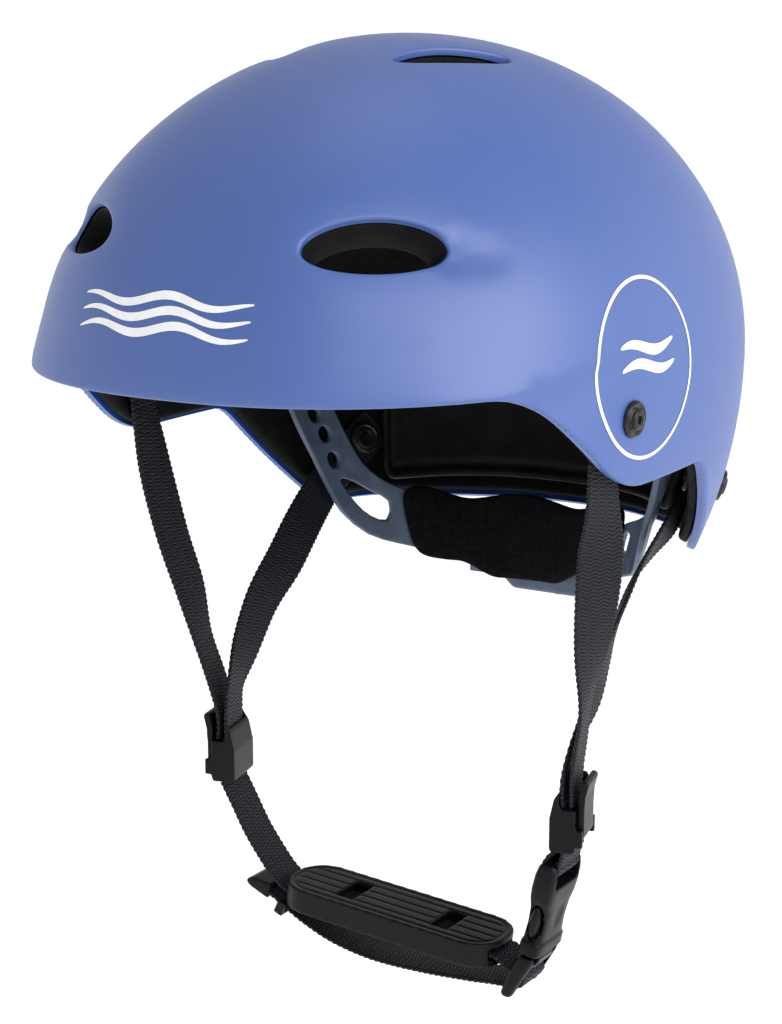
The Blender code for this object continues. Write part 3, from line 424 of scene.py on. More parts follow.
def on_dome(points, along=None):
    """Turn and level of the dome under the given points, moving them along a direction (or the normal)."""
    points = np.array(points, float)
    for _ in range(12):
        span, reach, rise = dome_shares(points)
        miss = reach**2 + rise**2 - 1
        turn = np.arctan2(points[:, 0], -points[:, 1])
        _points, normals = dome(turn, np.arctan2(reach, rise))
        slope = 2 / np.where(np.abs(normals[:, 2:]) > 0.5, span[:, None], HALF_WIDTH)
        step = normals if along is None else np.broadcast_to(along, normals.shape)
        facing = np.maximum((step * normals).sum(1, keepdims=True), 0.2)
        points = points - step * (miss[:, None] / slope / facing) * 0.9
    return turn, np.arctan2(reach, rise)


class Vent:
    """An oval opening: its centre, axes in the surface and half sizes."""

    def __init__(self, kind, side, grow=0.0):
        (x, y, z), self.half_length, self.half_width = VENTS[kind]
        turn, level = on_dome([(x * side, y, z)])
        points, normals = dome(turn, level)
        self.centre, self.normal = points[0], normals[0]
        along = np.array((0.34 * side, 1, 0)) if kind == "top" else np.cross((0, 0, 1), self.normal)
        along = along - self.normal * (along @ self.normal)
        self.along = along / np.linalg.norm(along)
        self.across = np.cross(self.normal, self.along)
        self.half_length += grow
        self.half_width += grow
        self.kind, self.side = kind, side

    def local(self, points):
        """Coordinates along and across the vent."""
        offset = points - self.centre
        return offset @ self.along, offset @ self.across, offset @ self.normal

    def clearance(self, points):
        """About how far outside the outline each point is."""
        x, y, depth = self.local(points)
        ratio = np.sqrt((x / self.half_length) ** 2 + (y / self.half_width) ** 2) + 1e-9
        slope = np.sqrt((x / self.half_length**2) ** 2 + (y / self.half_width**2) ** 2) / ratio + 1e-9
        far = np.abs(depth) > 40
        return np.where(far, 999.0, (ratio - 1) / slope)

    def ring(self, offset, count):
        """Turn and level of a ring of points at a distance outside the outline."""
        angle = np.linspace(0, 2 * math.pi, count, endpoint=False)
        x, y = self.half_length * np.cos(angle), self.half_width * np.sin(angle)
        out_x, out_y = np.cos(angle) / self.half_length, np.sin(angle) / self.half_width
        size = np.sqrt(out_x**2 + out_y**2)
        x, y = x + offset * out_x / size, y + offset * out_y / size
        points = self.centre + x[:, None] * self.along + y[:, None] * self.across
        return on_dome(points, self.normal)


def all_vents(grow=0.0):
    return [Vent(kind, side, grow) for kind in VENTS for side in (1, -1)]


def relief(points):
    """How far the moulded shell stands off the plain dome: vents, brow lip and temple crease."""
    height = np.zeros(len(points))
    for vent in all_vents():
        x, y, depth = vent.local(points)
        near = np.abs(depth) < 40
        bowl = np.sqrt((x / (vent.half_length + 7)) ** 2 + (y / (vent.half_width + 6)) ** 2)
        height -= near * VENT_DISH[vent.kind] * smooth_step(1 - bowl, -0.15, 0.45)
        if vent.kind == "front":
            tail = np.sqrt(((x * vent.side - 24) / 22) ** 2 + ((y + 1) / 8) ** 2)
            height -= near * 1.3 * smooth_step(1 - tail, 0.0, 0.6)
    brow = smooth_step(-points[:, 1], 45, 105)
    height += BROW_LIP * brow * (1 - smooth_step(points[:, 2], 5, 24))
    forward = (points[:, 1] + 96) / 70
    line = 4 + 12 * np.clip(forward, 0, 1) ** 1.3
    fade = smooth_step(forward, -0.15, 0.2) * (1 - smooth_step(forward, 0.5, 0.9))
    below = smooth_step(line - points[:, 2], -2.5, 2.5) * (1 - smooth_step(line - points[:, 2], 6, 26))
    return height - CREASE_DEPTH * fade * below


def flat(turn, level):
    """The dome unrolled to a plane, crown at the middle."""
    return np.stack([level * np.sin(turn), -level * np.cos(turn)], -1)


def turn_and_level(spots):
    """The turns and levels of unrolled points."""
    return np.arctan2(spots[:, 0], -spots[:, 1]), np.hypot(spots[:, 0], spots[:, 1])


def surface(turn, level, depth, relieved=True):
    points, normals = dome(turn, level)
    stand = relief(points) if relieved else 0
    return points + normals * (stand - depth)[:, None]


def round_in(distance, radius):
    """Depth of a rounded edge at a distance in from the edge."""
    inset = np.clip(radius - distance, 0, radius)
    return radius - np.sqrt(np.maximum(radius**2 - inset**2, 0))


def rim_measures(raised):
    """Turns round the rim, its levels there, and the millimetres off the rim per unit of level."""
    turns = np.linspace(0, 2 * math.pi, RIM_COLUMNS, endpoint=False)
    rims = rim_level(turns, raised)
    points, _normals = dome(turns, rims)
    step_along = np.linalg.norm(np.roll(points, -1, 0) - np.roll(points, 1, 0), axis=1)
    drop = np.abs(np.roll(points[:, 2], -1) - np.roll(points[:, 2], 1))
    per_level = np.where(rims > QUARTER, SKIRT_DEPTH, CROWN_RISE) * np.abs(np.sin(rims)) * 1.02
    return turns, rims, per_level * np.sqrt(np.maximum(1 - (drop / step_along) ** 2, 0.05))


def layer_spots(turns, rims, per_level, vents):
    """Rings inside the rim, rows that thin out to the crown, rings round the vents, and edges to keep."""
    turn_rows = [turns] * (len(EDGE_RINGS) + 1)
    level_rows = [rims - inward / per_level for inward in (*EDGE_RINGS, 5.0)]
    for row in range(1, CROWN_ROWS):
        keep = slice(None, None, 1 if row > 14 else 2 if row > 6 else 6)
        turn_rows.append(turns[keep])
        level_rows.append((rims - EDGE_BAND / per_level)[keep] * (row / CROWN_ROWS))
    turn = np.concatenate([*turn_rows, [0.0]])
    level = np.concatenate([*level_rows, [1e-4]])
    points, _normals = dome(turn, level)
    clear = np.all([vent.clearance(points) > VENT_CLEAR for vent in vents], axis=0)
    clear[:len(turns)] = True
    turn, level = turn[clear], level[clear]
    edges = loop_edges(0, len(turns))
    for vent in vents:
        edges += loop_edges(len(turn), VENT_SIDES)
        rings = [vent.ring(offset, VENT_SIDES) for offset in EDGE_RINGS]
        turn = np.concatenate([turn, *(ring[0] for ring in rings)])
        level = np.concatenate([level, *(ring[1] for ring in rings)])
    return turn, level, edges


def layer_faces(spots, faces, rim_at, vents):
    """The triangles inside the rim and outside the vents, all wound one way."""
    turn, level = turn_and_level(spots[faces].mean(1))
    centres, _normals = dome(turn, level)
    inside = level < rim_at(turn) + 1e-5
    for vent in vents:
        inside &= vent.clearance(centres) > 0
    a, b, c = (spots[faces[:, k]] for k in range(3))
    area = (b[:, 0] - a[:, 0]) * (c[:, 1] - a[:, 1]) - (b[:, 1] - a[:, 1]) * (c[:, 0] - a[:, 0])
    faces = np.where((area < 0)[:, None], faces[:, ::-1], faces)
    return faces[inside & (np.abs(area) > 1e-12)]


def dome_layer(name, materials, depths, raised, grow, rounds, relieved):
    """A closed layer; depths outside and inside are functions of height, and rounds their edge radii."""
    turns, rims, per_level = rim_measures(raised)
    vents = all_vents(grow)

    def round_rim(turn, values):
        return np.interp(turn % (2 * math.pi), np.append(turns, 2 * math.pi), np.append(values, values[0]))

    turn, level, edges = layer_spots(turns, rims, per_level, vents)
    found = geometry.delaunay_2d_cdt([Vector(spot) for spot in flat(turn, level)], edges, [], 0, 1e-7)
    spots = np.array([tuple(spot) for spot in found[0]])
    faces = np.array([face for face in found[2] if len(face) == 3])
    faces = layer_faces(spots, faces, lambda at: round_rim(at, rims), vents)
    turn, level = turn_and_level(spots)
    points, _normals = dome(turn, level)
    from_edge = (round_rim(turn, rims) - level) * round_rim(turn, per_level)
    for vent in vents:
        from_edge = np.minimum(from_edge, vent.clearance(points))
    from_edge = np.maximum(from_edge, 0)
    outer_depth, inner_depth = (depth(points[:, 2]) for depth in depths)
    outer = surface(turn, level, outer_depth + round_in(from_edge, rounds[0]), relieved)
    inner = surface(turn, level, inner_depth - round_in(from_edge, rounds[1]), False)
    count = len(outer)
    used = {(int(face[k]), int(face[(k + 1) % 3])) for face in faces for k in range(3)}
    walls = [(two, one, one + count, two + count) for one, two in sorted(used) if (two, one) not in used]
    sheets = faces.tolist() + (faces[:, ::-1] + count).tolist()
    item = new_mesh(name, to_frame(np.vstack([outer, inner])), sheets + walls, materials[0])
    item.data.materials.append(materials[1])
    for polygon in item.data.polygons[len(faces):2 * len(faces)]:
        polygon.material_index = 1
    face_outwards(item)
    sharpen(item, 50)
    return item


def liner_inner(height):
    return LINER_DEPTH + LINER_THIN + (LINER_THICK - LINER_THIN) * smooth_step(height, *LINER_TAPER)


def make_shell():
    shell = dome_layer("shell_smooth", (PAINT, INSIDE), (lambda h: 0 * h, lambda h: 0 * h + SHELL_THICKNESS),
                       0.0, 0.0, (1.1, 0.0), True)
    stand_for(shell, "helmet", "shell_plastic", "outer_shell")
    liner = dome_layer("liner_smooth", (FOAM, FOAM), (lambda h: 0 * h + LINER_DEPTH, liner_inner),
                       1.3, -0.6, (0.6, 2.2), False)
    stand_for(liner, "helmet", "liner_foam", "foam_liner")


def print_on_dome(name, outline, centre, hole=None, spacing=1.2, stand=0.12):
    """A thin printed shape; its outline is in millimetres to the viewer's right and up from a dome point."""
    turn, level = on_dome([centre])
    points, normals = dome(turn, level)
    up = np.array((0, 0, 1)) - normals[0] * normals[0][2]
    up /= np.linalg.norm(up)
    right = np.cross(up, normals[0])
    border = [outline] if hole is None else [outline, hole]
    edges, spots = [], []
    for ring_points in border:
        edges += loop_edges(len(spots), len(ring_points))
        spots += [tuple(spot) for spot in ring_points]
    low, high = outline.min(0), outline.max(0)
    for x in np.arange(low[0] + spacing / 2, high[0], spacing):
        spots += [(x, y) for y in np.arange(low[1] + spacing / 2, high[1], spacing)]
    found = geometry.delaunay_2d_cdt([Vector(spot) for spot in spots], edges, [], 0, 1e-6)
    spots = np.array([tuple(spot) for spot in found[0]])
    faces = [face for face in found[2] if within(spots[face].mean(0), border)]
    turn, level = on_dome(points[0] + spots[:, :1] * right + spots[:, 1:] * up, normals[0])
    item = new_mesh(name, to_frame(surface(turn, level, np.full(len(turn), -stand))), faces, PRINT)
    edit(item, drop_loose_points)
    stand_for(item, "helmet", "shell_plastic")


def drop_loose_points(shape):
    bmesh.ops.delete(shape, geom=[corner for corner in shape.verts if not corner.link_faces], context="VERTS")


def within(spot, border):
    """Whether a flat spot is inside the first outline and outside the others."""
    inside = False
    for ring_points in border:
        after = np.roll(ring_points, -1, 0)
        spans = (ring_points[:, 1] > spot[1]) != (after[:, 1] > spot[1])
        rise = np.where(after[:, 1] == ring_points[:, 1], 1, after[:, 1] - ring_points[:, 1])
        share = (spot[1] - ring_points[:, 1]) / rise
        crossing = ring_points[:, 0] + share * (after[:, 0] - ring_points[:, 0])
        if np.count_nonzero(spans & (crossing > spot[0])) % 2:
            inside = not inside
    return inside


def oval(half_width, half_height, count=96):
    angle = np.linspace(0, 2 * math.pi, count, endpoint=False)
    return np.stack([half_width * np.cos(angle), half_height * np.sin(angle)], -1)


def wave_band(length, rise, thickness, waves, shift, lift):
    """Outline of a wavy stripe that tapers to both ends."""
    x = np.linspace(-length / 2, length / 2, 60)
    share = (x + length / 2) / length
    middle = lift + rise * np.sin(share * waves * 2 * math.pi + shift)
    half = thickness / 2 * (0.15 + 0.85 * np.sin(share * math.pi) ** 0.6)
    return np.concatenate([np.stack([x, middle + half], -1), np.stack([x, middle - half], -1)[::-1]])


def make_prints():
    """Generic wave marks: three stripes at the brow, an oval ring with two stripes over each front rivet."""
    for index, lift in enumerate((-4.6, 0.0, 4.6)):
        print_on_dome(f"brow_wave_{index}", wave_band(64, 1.5, 2.8, 2, index * 0.5, lift), (-4.5, -135, 30.7))
    for side, word in ((1, "left"), (-1, "right")):
        centre = (102.8 * side, -19.5, 7.7)
        print_on_dome(f"oval_ring_{word}", oval(30.6, 29.4), centre, oval(29.3, 28.2))
        for index, lift in enumerate((-3.2, 3.2)):
            stripe = wave_band(34, 1.6, 3.6, 1, index * 0.6, lift)
            print_on_dome(f"side_wave_{word}_{index}", stripe, (102.8 * side, -19.5, 11.5))


# ---- webbing ----


def smooth_path(stations, steps):
    """Catmull-Rom through stations."""
    found = []
    last = len(stations) - 1
    for index in range(last):
        before, start = stations[max(index - 1, 0)], stations[index]
        end, after = stations[index + 1], stations[min(index + 2, last)]
        for step in range(steps):
            t = step / steps
            near = 2 * start + (end - before) * t
            bend = (2 * before - 5 * start + 4 * end - after) * t**2
            twist = (3 * start - before - 3 * end + after) * t**3
            found.append((near + (bend + twist)) / 2)
    found.append(stations[-1].copy())
    return found


def resample(path, widths, spacing):
    """Even spacing along the path."""
    points = np.array([tuple(p) for p in path])
    sides = np.array([tuple(w.normalized()) for w in widths])
    run = np.concatenate([[0], np.cumsum(np.linalg.norm(np.diff(points, axis=0), axis=1))])
    count = max(int(run[-1] / spacing), 2)
    marks = np.linspace(0, run[-1], count + 1)
    points = np.stack([np.interp(marks, run, points[:, k]) for k in range(3)], -1)
    sides = np.stack([np.interp(marks, run, sides[:, k]) for k in range(3)], -1)
    return points, sides, marks


def webbing(name, path, widths, width=WEBBING_WIDTH, thickness=WEBBING_THICKNESS - 0.2):
    """Woven strap: bound, scalloped edges and cross ribs, with its own coordinates for the weave."""
    points, sides, marks = resample(path, widths, 0.55 * MM)
    for _ in range(6):
        sides[1:-1] = (sides[:-2] + 2 * sides[1:-1] + sides[2:]) / 4
    heading = np.gradient(points, axis=0)
    heading /= np.linalg.norm(heading, axis=1, keepdims=True)
    sides -= heading * (sides * heading).sum(1, keepdims=True)
    sides /= np.linalg.norm(sides, axis=1, keepdims=True)
    up = np.cross(heading, sides)
    half, thick = width / 2 * MM, thickness / 2 * MM
    outline = [(-1.0, 0.0), (-0.97, 0.62), (-0.9, 0.92), (-0.84, 0.86), (-0.45, 1.0), (0.0, 1.0), (0.45, 1.0),
               (0.84, 0.86), (0.9, 0.92), (0.97, 0.62), (1.0, 0.0)]
    outline += [(x, -y) for x, y in reversed(outline[1:-1])]
    wave = np.sin(marks / MM * 2 * math.pi / 2.3)
    rings = []
    for x, y in outline:
        edge = abs(x) > 0.8
        reach = half * x * (1 + (0.022 * wave if edge else 0))
        lift = thick * y * (1 + (0.16 * wave if edge else 0.05 * wave))
        rings.append(points + sides * np.broadcast_to(reach, marks.shape)[:, None]
                     + up * np.broadcast_to(lift, marks.shape)[:, None])
    grid = np.stack(rings, 1)
    rows, columns = grid.shape[:2]
    faces = tube_faces(rows, columns) + end_caps(rows, columns)
    item = new_mesh(name, grid.reshape(-1, 3), faces, WEBBING)
    layer = item.data.uv_layers.new(name="weave")
    shares = [(x + 1) / 2 for x, _y in outline]
    for polygon in item.data.polygons:
        for loop, vertex in zip(polygon.loop_indices, polygon.vertices):
            layer.data[loop].uv = (shares[vertex % columns], marks[vertex // columns] / MM)
    face_outwards(item)
    return item


STRAP_TWIST_LEFT = [(0.3, 0.95), (0.7, 0.72), (0.6, 0.8), (0.3, 0.95)]
STRAP_TWIST_RIGHT = [(0.1, 1), (0.15, 1), (0.12, 1), (0.05, 1)]


def dome_spot(turn, height, depth=0.0):
    points, normals = dome([turn], level_at(np.array([height])))
    spot = points[0] - normals[0] * depth
    return place(*spot), Vector(normals[0])


def listed(points, side=1):
    return [place(x * side, y, z) for x, y, z in points]


def adjuster_ends(side, out):
    """Where a strap enters the adjuster and where it stops inside it."""
    offset = ADJUSTER_TURN @ Vector((out * side, 0, 0)) * MM
    x, y = ADJUSTER[0] * side, ADJUSTER[1]
    return [place(x, y, -138) + offset, place(x, y, -147) + offset]


def hanging_straps(side):
    turn, height = FRONT_RIVET
    tops = [dome_spot(turn * side, height + lift, STRAP_DEPTH) for lift in (9, 0, -9, -18)]
    front = [spot for spot, _normal in tops]
    front += listed([(90.5, -26, -41), (88.9, -23.4, -55), (86.2, -20.1, -72), (82.7, -15.9, -90),
                     (79.5, -13, -109), (75.8, -9.5, -126)], side) + adjuster_ends(side, STRAP_LAP)
    twist = STRAP_TWIST_LEFT if side > 0 else STRAP_TWIST_RIGHT
    front_sides = [Vector((0, 0, side)).cross(normal) for _spot, normal in tops]
    across = ADJUSTER_TURN @ Vector((0, 1, 0))
    front_sides += [Vector((x, y, 0)) for x, y in twist] + [across] * 4
    turn, height = REAR_RIVET
    anchor, normal = dome_spot(turn * side, height, STRAP_DEPTH)
    heading = Vector((0.05 * side, -0.86, -0.5))
    heading = (heading - normal * heading.dot(normal)).normalized()
    rear = [anchor - heading * 9 * MM, anchor, anchor + heading * 9 * MM]
    rear += listed([(73.9, 68, -61.5), (72.8, 54, -68.8), (71.5, 41.5, -77), (71.4, 29.5, -88),
                    (72.8, 17, -100), (72.6, 6, -114), (71.2, -4, -127)], side)
    rear += adjuster_ends(side, -STRAP_LAP)
    edge = heading.cross(normal) * side
    lean = [(0.25, -0.5, 0.8), (0.4, -0.5, 0.7), (0.52, -0.48, 0.68), (0.5, -0.6, 0.55), (0.3, -0.85, 0.35),
            (0.1, -0.97, 0.15)]
    rear_sides = [edge] * 3 + [Vector((x * side, y, z)) for x, y, z in lean] + [-across] * 3
    return front, front_sides, rear, rear_sides


def make_hanging_straps():
    for side, word in ((1, "left"), (-1, "right")):
        front, front_sides, rear, rear_sides = hanging_straps(side)
        for kind, path, sides in (("front", front, front_sides), ("rear", rear, rear_sides)):
            strap = webbing(f"{kind}_webbing_{word}", smooth_path(path, 6), smooth_path(sides, 6))
            stand_for(strap, "helmet", "webbing", f"{kind}_strap_{word}")


# ---- chin strap ----


def buckle_place(out, across, along):
    """Point in the buckle's own frame: outwards, across it and up along its length."""
    turn = Matrix.Rotation(BUCKLE_LEAN, 3, "Y")
    return place(*BUCKLE_FOOT) + turn @ Vector((out, across, along)) * MM


def plug_place(out, across, along):
    """The same for the plug, whose lower end curves in towards the chin."""
    return buckle_place(out - PLUG_BEND * max(11 - along, 0), across, along)


def pad_place(along, across, up):
    """Point in the chin pad's own frame."""
    turn = Matrix.Rotation(CHIN_PAD_TILT, 3, "Y")
    return place(*CHIN_PAD_CENTRE) + turn @ Vector((along, across, up)) * MM


def level_spots(spots):
    return [place(x, CHIN_Y, z) for x, z in spots]


def level_strap(name, body, node, path):
    """Webbing that keeps its width level, front to back."""
    path = smooth_path(path, 6)
    strap = webbing(name, path, [Vector((0, 1, 0))] * len(path))
    return stand_for(strap, body, "webbing", node)


def make_chin_webbing():
    strap = level_spots([(-70.5, -163.8), (-65.6, -172), (-59.8, -182), (-53.4, -190.5), (-47.6, -197),
                         (-41, -200.9)])
    strap += [pad_place(along, 0, -0.5) for along in (-30, -10, 10, 30, 44)]
    strap += [plug_place(-5.0, 0, 2.9), plug_place(-0.6, 0, 3.1)]
    level_strap("chin_webbing", "chin_assembly", "chin_strap", strap)

    turns = [math.radians(100 + 34 * step) for step in range(6)]
    tail = [plug_place(-3.0 * math.cos(a), 0, 3.0 * math.sin(a)) for a in turns]
    tail += level_spots([(45, -217.6), (35, -218.6), (15, -219.8), (-5, -219.6), (-22, -216.6), (-35, -211.6),
                         (-44, -206.6), (-50.6, -203.0)])
    level_strap("chin_webbing_tail", "chin_assembly", "chin_strap_tail", tail)

    reach = BAR_RADIUS + 1.3
    top = place(ADJUSTER[0] - 0.6, CHIN_Y, -163.3)
    side_gap = Vector((1.3, 0, 0)) * MM
    loop = [top + side_gap, (top + side_gap).lerp(buckle_place(reach, 0, UPPER_BAR_AT + 2), 0.6)]
    for degrees in range(-30, 211, 30):
        angle = math.radians(degrees)
        loop.append(buckle_place(reach * math.cos(angle), 0, UPPER_BAR_AT - reach * math.sin(angle)))
    loop += [(top - side_gap).lerp(buckle_place(-reach, 0, UPPER_BAR_AT + 2), 0.6), top - side_gap]
    level_strap("drop_webbing", "helmet", "drop_strap_left", loop)


# ---- pads ----


def lattice(columns, rows, front, back):
    """A closed cushion from two sheets of points that meet in one edge: columns x rows points each."""
    points, faces, index = [], [], {}
    for sheet, spots in (("front", front), ("back", back)):
        for row in range(rows):
            for column in range(columns):
                border = row in (0, rows - 1) or column in (0, columns - 1)
                if border and sheet == "back":
                    index[sheet, row, column] = index["front", row, column]
                    continue
                index[sheet, row, column] = len(points)
                points.append(spots[row][column])
    for sheet in ("front", "back"):
        for row in range(rows - 1):
            for column in range(columns - 1):
                corners = [(row, column), (row, column + 1), (row + 1, column + 1), (row + 1, column)]
                face = [index[sheet, *corner] for corner in corners]
                faces.append(face if sheet == "front" else face[::-1])
    return points, faces


CLOTH = {"quality": 6, "mass": 0.15, "tension_stiffness": 12, "compression_stiffness": 12,
         "shear_stiffness": 6, "bending_stiffness": 0.6, "use_pressure": True}
CLOTH_FRAMES = 20


def puff(item, held, pressure, cap):
    """Inflate a closed soft piece with cloth, keep the held points, and limit how far any point goes."""
    start = mesh_points(item)
    item.vertex_groups.new(name="held").add([int(index) for index in held], 1.0, "REPLACE")
    change = item.modifiers.new("cloth", "CLOTH")
    for key, value in CLOTH.items():
        setattr(change.settings, key, value)
    change.settings.uniform_pressure_force = pressure
    change.settings.effector_weights.gravity = 0
    change.settings.vertex_group_mass = "held"
    change.point_cache.frame_start = 1
    change.point_cache.frame_end = CLOTH_FRAMES
    for number in range(1, CLOTH_FRAMES + 1):
        bpy.context.scene.frame_set(number)
    ready = item.evaluated_get(bpy.context.evaluated_depsgraph_get())
    move = mesh_points(ready) - start
    item.modifiers.clear()
    bpy.context.scene.frame_set(1)
    move *= np.minimum(1, cap * MM / np.maximum(np.linalg.norm(move, axis=1, keepdims=True), 1e-9))
    move_points(item, start + move)


def refine(item, levels):
    """Apply smooth subdivision."""
    change = item.modifiers.new("fine", "SUBSURF")
    change.levels = levels
    bake(item)


def emboss(item, lift_at):
    """Move the points along their normals by a function of their places in millimetres above the rim."""
    points = mesh_points(item)
    normals = np.array([tuple(vertex.normal) for vertex in item.data.vertices])
    move_points(item, points + normals * (lift_at(points / MM + (0, 0, SEAT)) * MM)[:, None])


def corner_distance(u, v, half_u, half_v, corner):
    """Distance in from a rounded rectangle's border."""
    x, y = np.abs(u) - (half_u - corner), np.abs(v) - (half_v - corner)
    outside = np.hypot(np.maximum(x, 0), np.maximum(y, 0)) + np.minimum(np.maximum(x, y), 0)
    return corner - outside


def ridge(distance, at, width):
    return np.exp(-(((distance - at) / width) ** 2))


def liner_pad(name, node, turns, heights, thickness, corner, material, features, pressure=2.5):
    """A crowned pad on the liner between two turns (degrees) and two heights, its features pressed in."""
    middle_turn, half_turn = math.radians(sum(turns) / 2), math.radians(turns[1] - turns[0]) / 2
    middle_height, half_height = sum(heights) / 2, (heights[1] - heights[0]) / 2
    hub, _normal = dome([middle_turn], level_at(np.array([middle_height])))
    per_turn = np.hypot(hub[0][0], hub[0][1])
    half_width = half_turn * per_turn
    columns, rows = max(int(half_width / 2.2), 8), max(int(half_height / 2.2), 6)
    front, back = [], []
    for row in range(rows):
        v = half_height * (1 - 2 * row / (rows - 1))
        lines = ([], [])
        for column in range(columns):
            u = half_width * (2 * column / (columns - 1) - 1)
            x, y = squared_in(u, v, half_width, half_height, corner)
            turn, height = middle_turn + x / per_turn, middle_height + y
            level = level_at(np.array([height]))
            base = liner_inner(np.array([height]))[0] + PAD_REST
            for line, depth in zip(lines, (base + thickness * 0.55, base)):
                points, normals = dome([turn], level)
                line.append(place(*(points[0] - normals[0] * depth)))
        front.append(lines[0])
        back.append(lines[1])
    points, faces = lattice(columns, rows, front, back)
    pad = new_mesh(name, points, faces, material)
    face_outwards(pad)
    puff(pad, range(columns * rows, len(points)), pressure, thickness * 0.45)
    refine(pad, 2)

    def lift(spots):
        turn = np.arctan2(spots[:, 0], -spots[:, 1])
        turn = np.where(turn < middle_turn - math.pi, turn + 2 * math.pi, turn)
        inwards = corner_distance((turn - middle_turn) * per_turn, spots[:, 2] - middle_height, half_width,
                                  half_height, corner)
        reach = dome_depth(spots) - liner_inner(spots[:, 2]) - PAD_REST
        return features(inwards, (turn - middle_turn) * per_turn) * smooth_step(reach, 0.5, 2.0)

    emboss(pad, lift)
    stand_for(pad, "helmet", "pad_fabric", node)


def squared_in(u, v, half_u, half_v, corner):
    """Pull a rectangle's grid point in so that its border has rounded corners."""
    inward = max(abs(u) / half_u, abs(v) / half_v)
    if inward < 1e-6:
        return u, v
    low, high = 0.0, 1.2
    for _ in range(24):
        scale = (low + high) / 2
        edge = corner_distance(u / inward * scale, v / inward * scale, half_u, half_v, corner)
        low, high = (scale, high) if edge > 0 else (low, scale)
    return u * low, v * low


def dome_depth(spots):
    """How far under the plain dome each point lies, in millimetres."""
    _span, reach, rise = dome_shares(spots)
    return (1 - np.hypot(reach, rise)) * np.linalg.norm(spots - (0, 0, WIDEST), axis=1)


def make_liner_pads():
    def framed(inwards, _u):
        """A bound edge, a sewn channel and a double ridge round a flat field."""
        bead = 0.9 * ridge(inwards, 3.0, 1.6) - 0.9 * ridge(inwards, 6.4, 1.3)
        return bead + 1.2 * ridge(inwards, 9.2, 1.5) - 0.9 * ridge(inwards, 12.2, 1.4)

    def channelled(inwards, u):
        seams = ridge(np.abs(u) % 34, 17, 1.2)
        return 0.6 * ridge(inwards, 2.2, 1.3) - 0.8 * ridge(inwards, 4.6, 1.1) - 1.3 * seams * (inwards > 4)

    def bound(inwards, _u):
        return 0.6 * ridge(inwards, 2.2, 1.3) - 0.9 * ridge(inwards, 4.8, 1.2)

    liner_pad("rear_pad_stuffed", "rear_pad", (144.5, 218.3), (-73.6, 4), 8.2, 14, LEATHER, framed, 2.0)
    liner_pad("brow_pad_stuffed", "brow_pad", (-43, 43), (11.5, 36.5), 6.4, 6, PLUSH, channelled)
    for side, word in ((1, "left"), (-1, "right")):
        turns = (80, 103.5) if side > 0 else (-103.5, -80)
        liner_pad(f"side_pad_stuffed_{word}", f"side_pad_{word}", turns, (-18, 24), 5.4, 9, PLUSH, bound)


def make_crown_pad():
    """Round cushion whose middle rests flat on the head."""
    reach, rings, sides = CROWN_PAD_REACH, 9, 40
    depth = LINER_DEPTH + LINER_THICK + PAD_REST
    top, underside = [], []
    for ring in range(1, rings + 1):
        for step in range(sides):
            points, normals = dome([2 * math.pi * step / sides], np.array([reach * ring / rings]))
            spot = points[0] - normals[0] * depth
            top.append(place(*spot))
            edge = 1 - (ring / rings) ** 6
            underside.append(place(spot[0], spot[1], spot[2] + (SEAT + 1.6 - spot[2]) * edge))
    count = len(top)
    keep = count - sides
    points = top + underside[:keep] + [place(0, 0, WIDEST + CROWN_RISE - depth), place(0, 0, SEAT + 1.6)]

    def lower(index):
        return count + index if index < keep else index

    faces = []
    for step in range(sides):
        after = (step + 1) % sides
        faces += [(len(points) - 2, step, after), (len(points) - 1, lower(after), lower(step))]
    for face in tube_faces(rings, sides):
        faces += [face, tuple(lower(index) for index in face)]
    pad = new_mesh("crown_pad_stuffed", points, faces, PLUSH)
    face_outwards(pad)
    puff(pad, range(count), 2.0, 1.6)
    refine(pad, 1)

    def lift(spots):
        away = np.hypot(spots[:, 0], spots[:, 1])
        below = spots[:, 2] < SEAT + 6
        cross = np.minimum(np.abs(spots[:, 0]), np.abs(spots[:, 1]))
        return np.where(below, -1.1 * ridge(cross, 0, 1.2) * smooth_step(away, 5, 9), 0.0)

    emboss(pad, lift)
    stand_for(pad, "helmet", "pad_fabric", "crown_pad")


def squarer(share, power):
    """A sine or cosine pulled towards its ends, which makes an oval squarer."""
    return math.copysign(abs(share) ** power, share)


def cradle_point(turn, height, out=0.0):
    """Point on the cradle's oval at a turn from the side towards the nape."""
    half_width = CRADLE_HALF_WIDTH + CRADLE_LEAN * (height - CRADLE_LEVEL)
    x, y = half_width * math.cos(turn), CRADLE_CENTRE_Y + CRADLE_HALF_DEPTH * math.sin(turn)
    normal = Vector((math.cos(turn) / half_width, math.sin(turn) / CRADLE_HALF_DEPTH, 0)).normalized()
    return place(x, y, height) + normal * out * MM


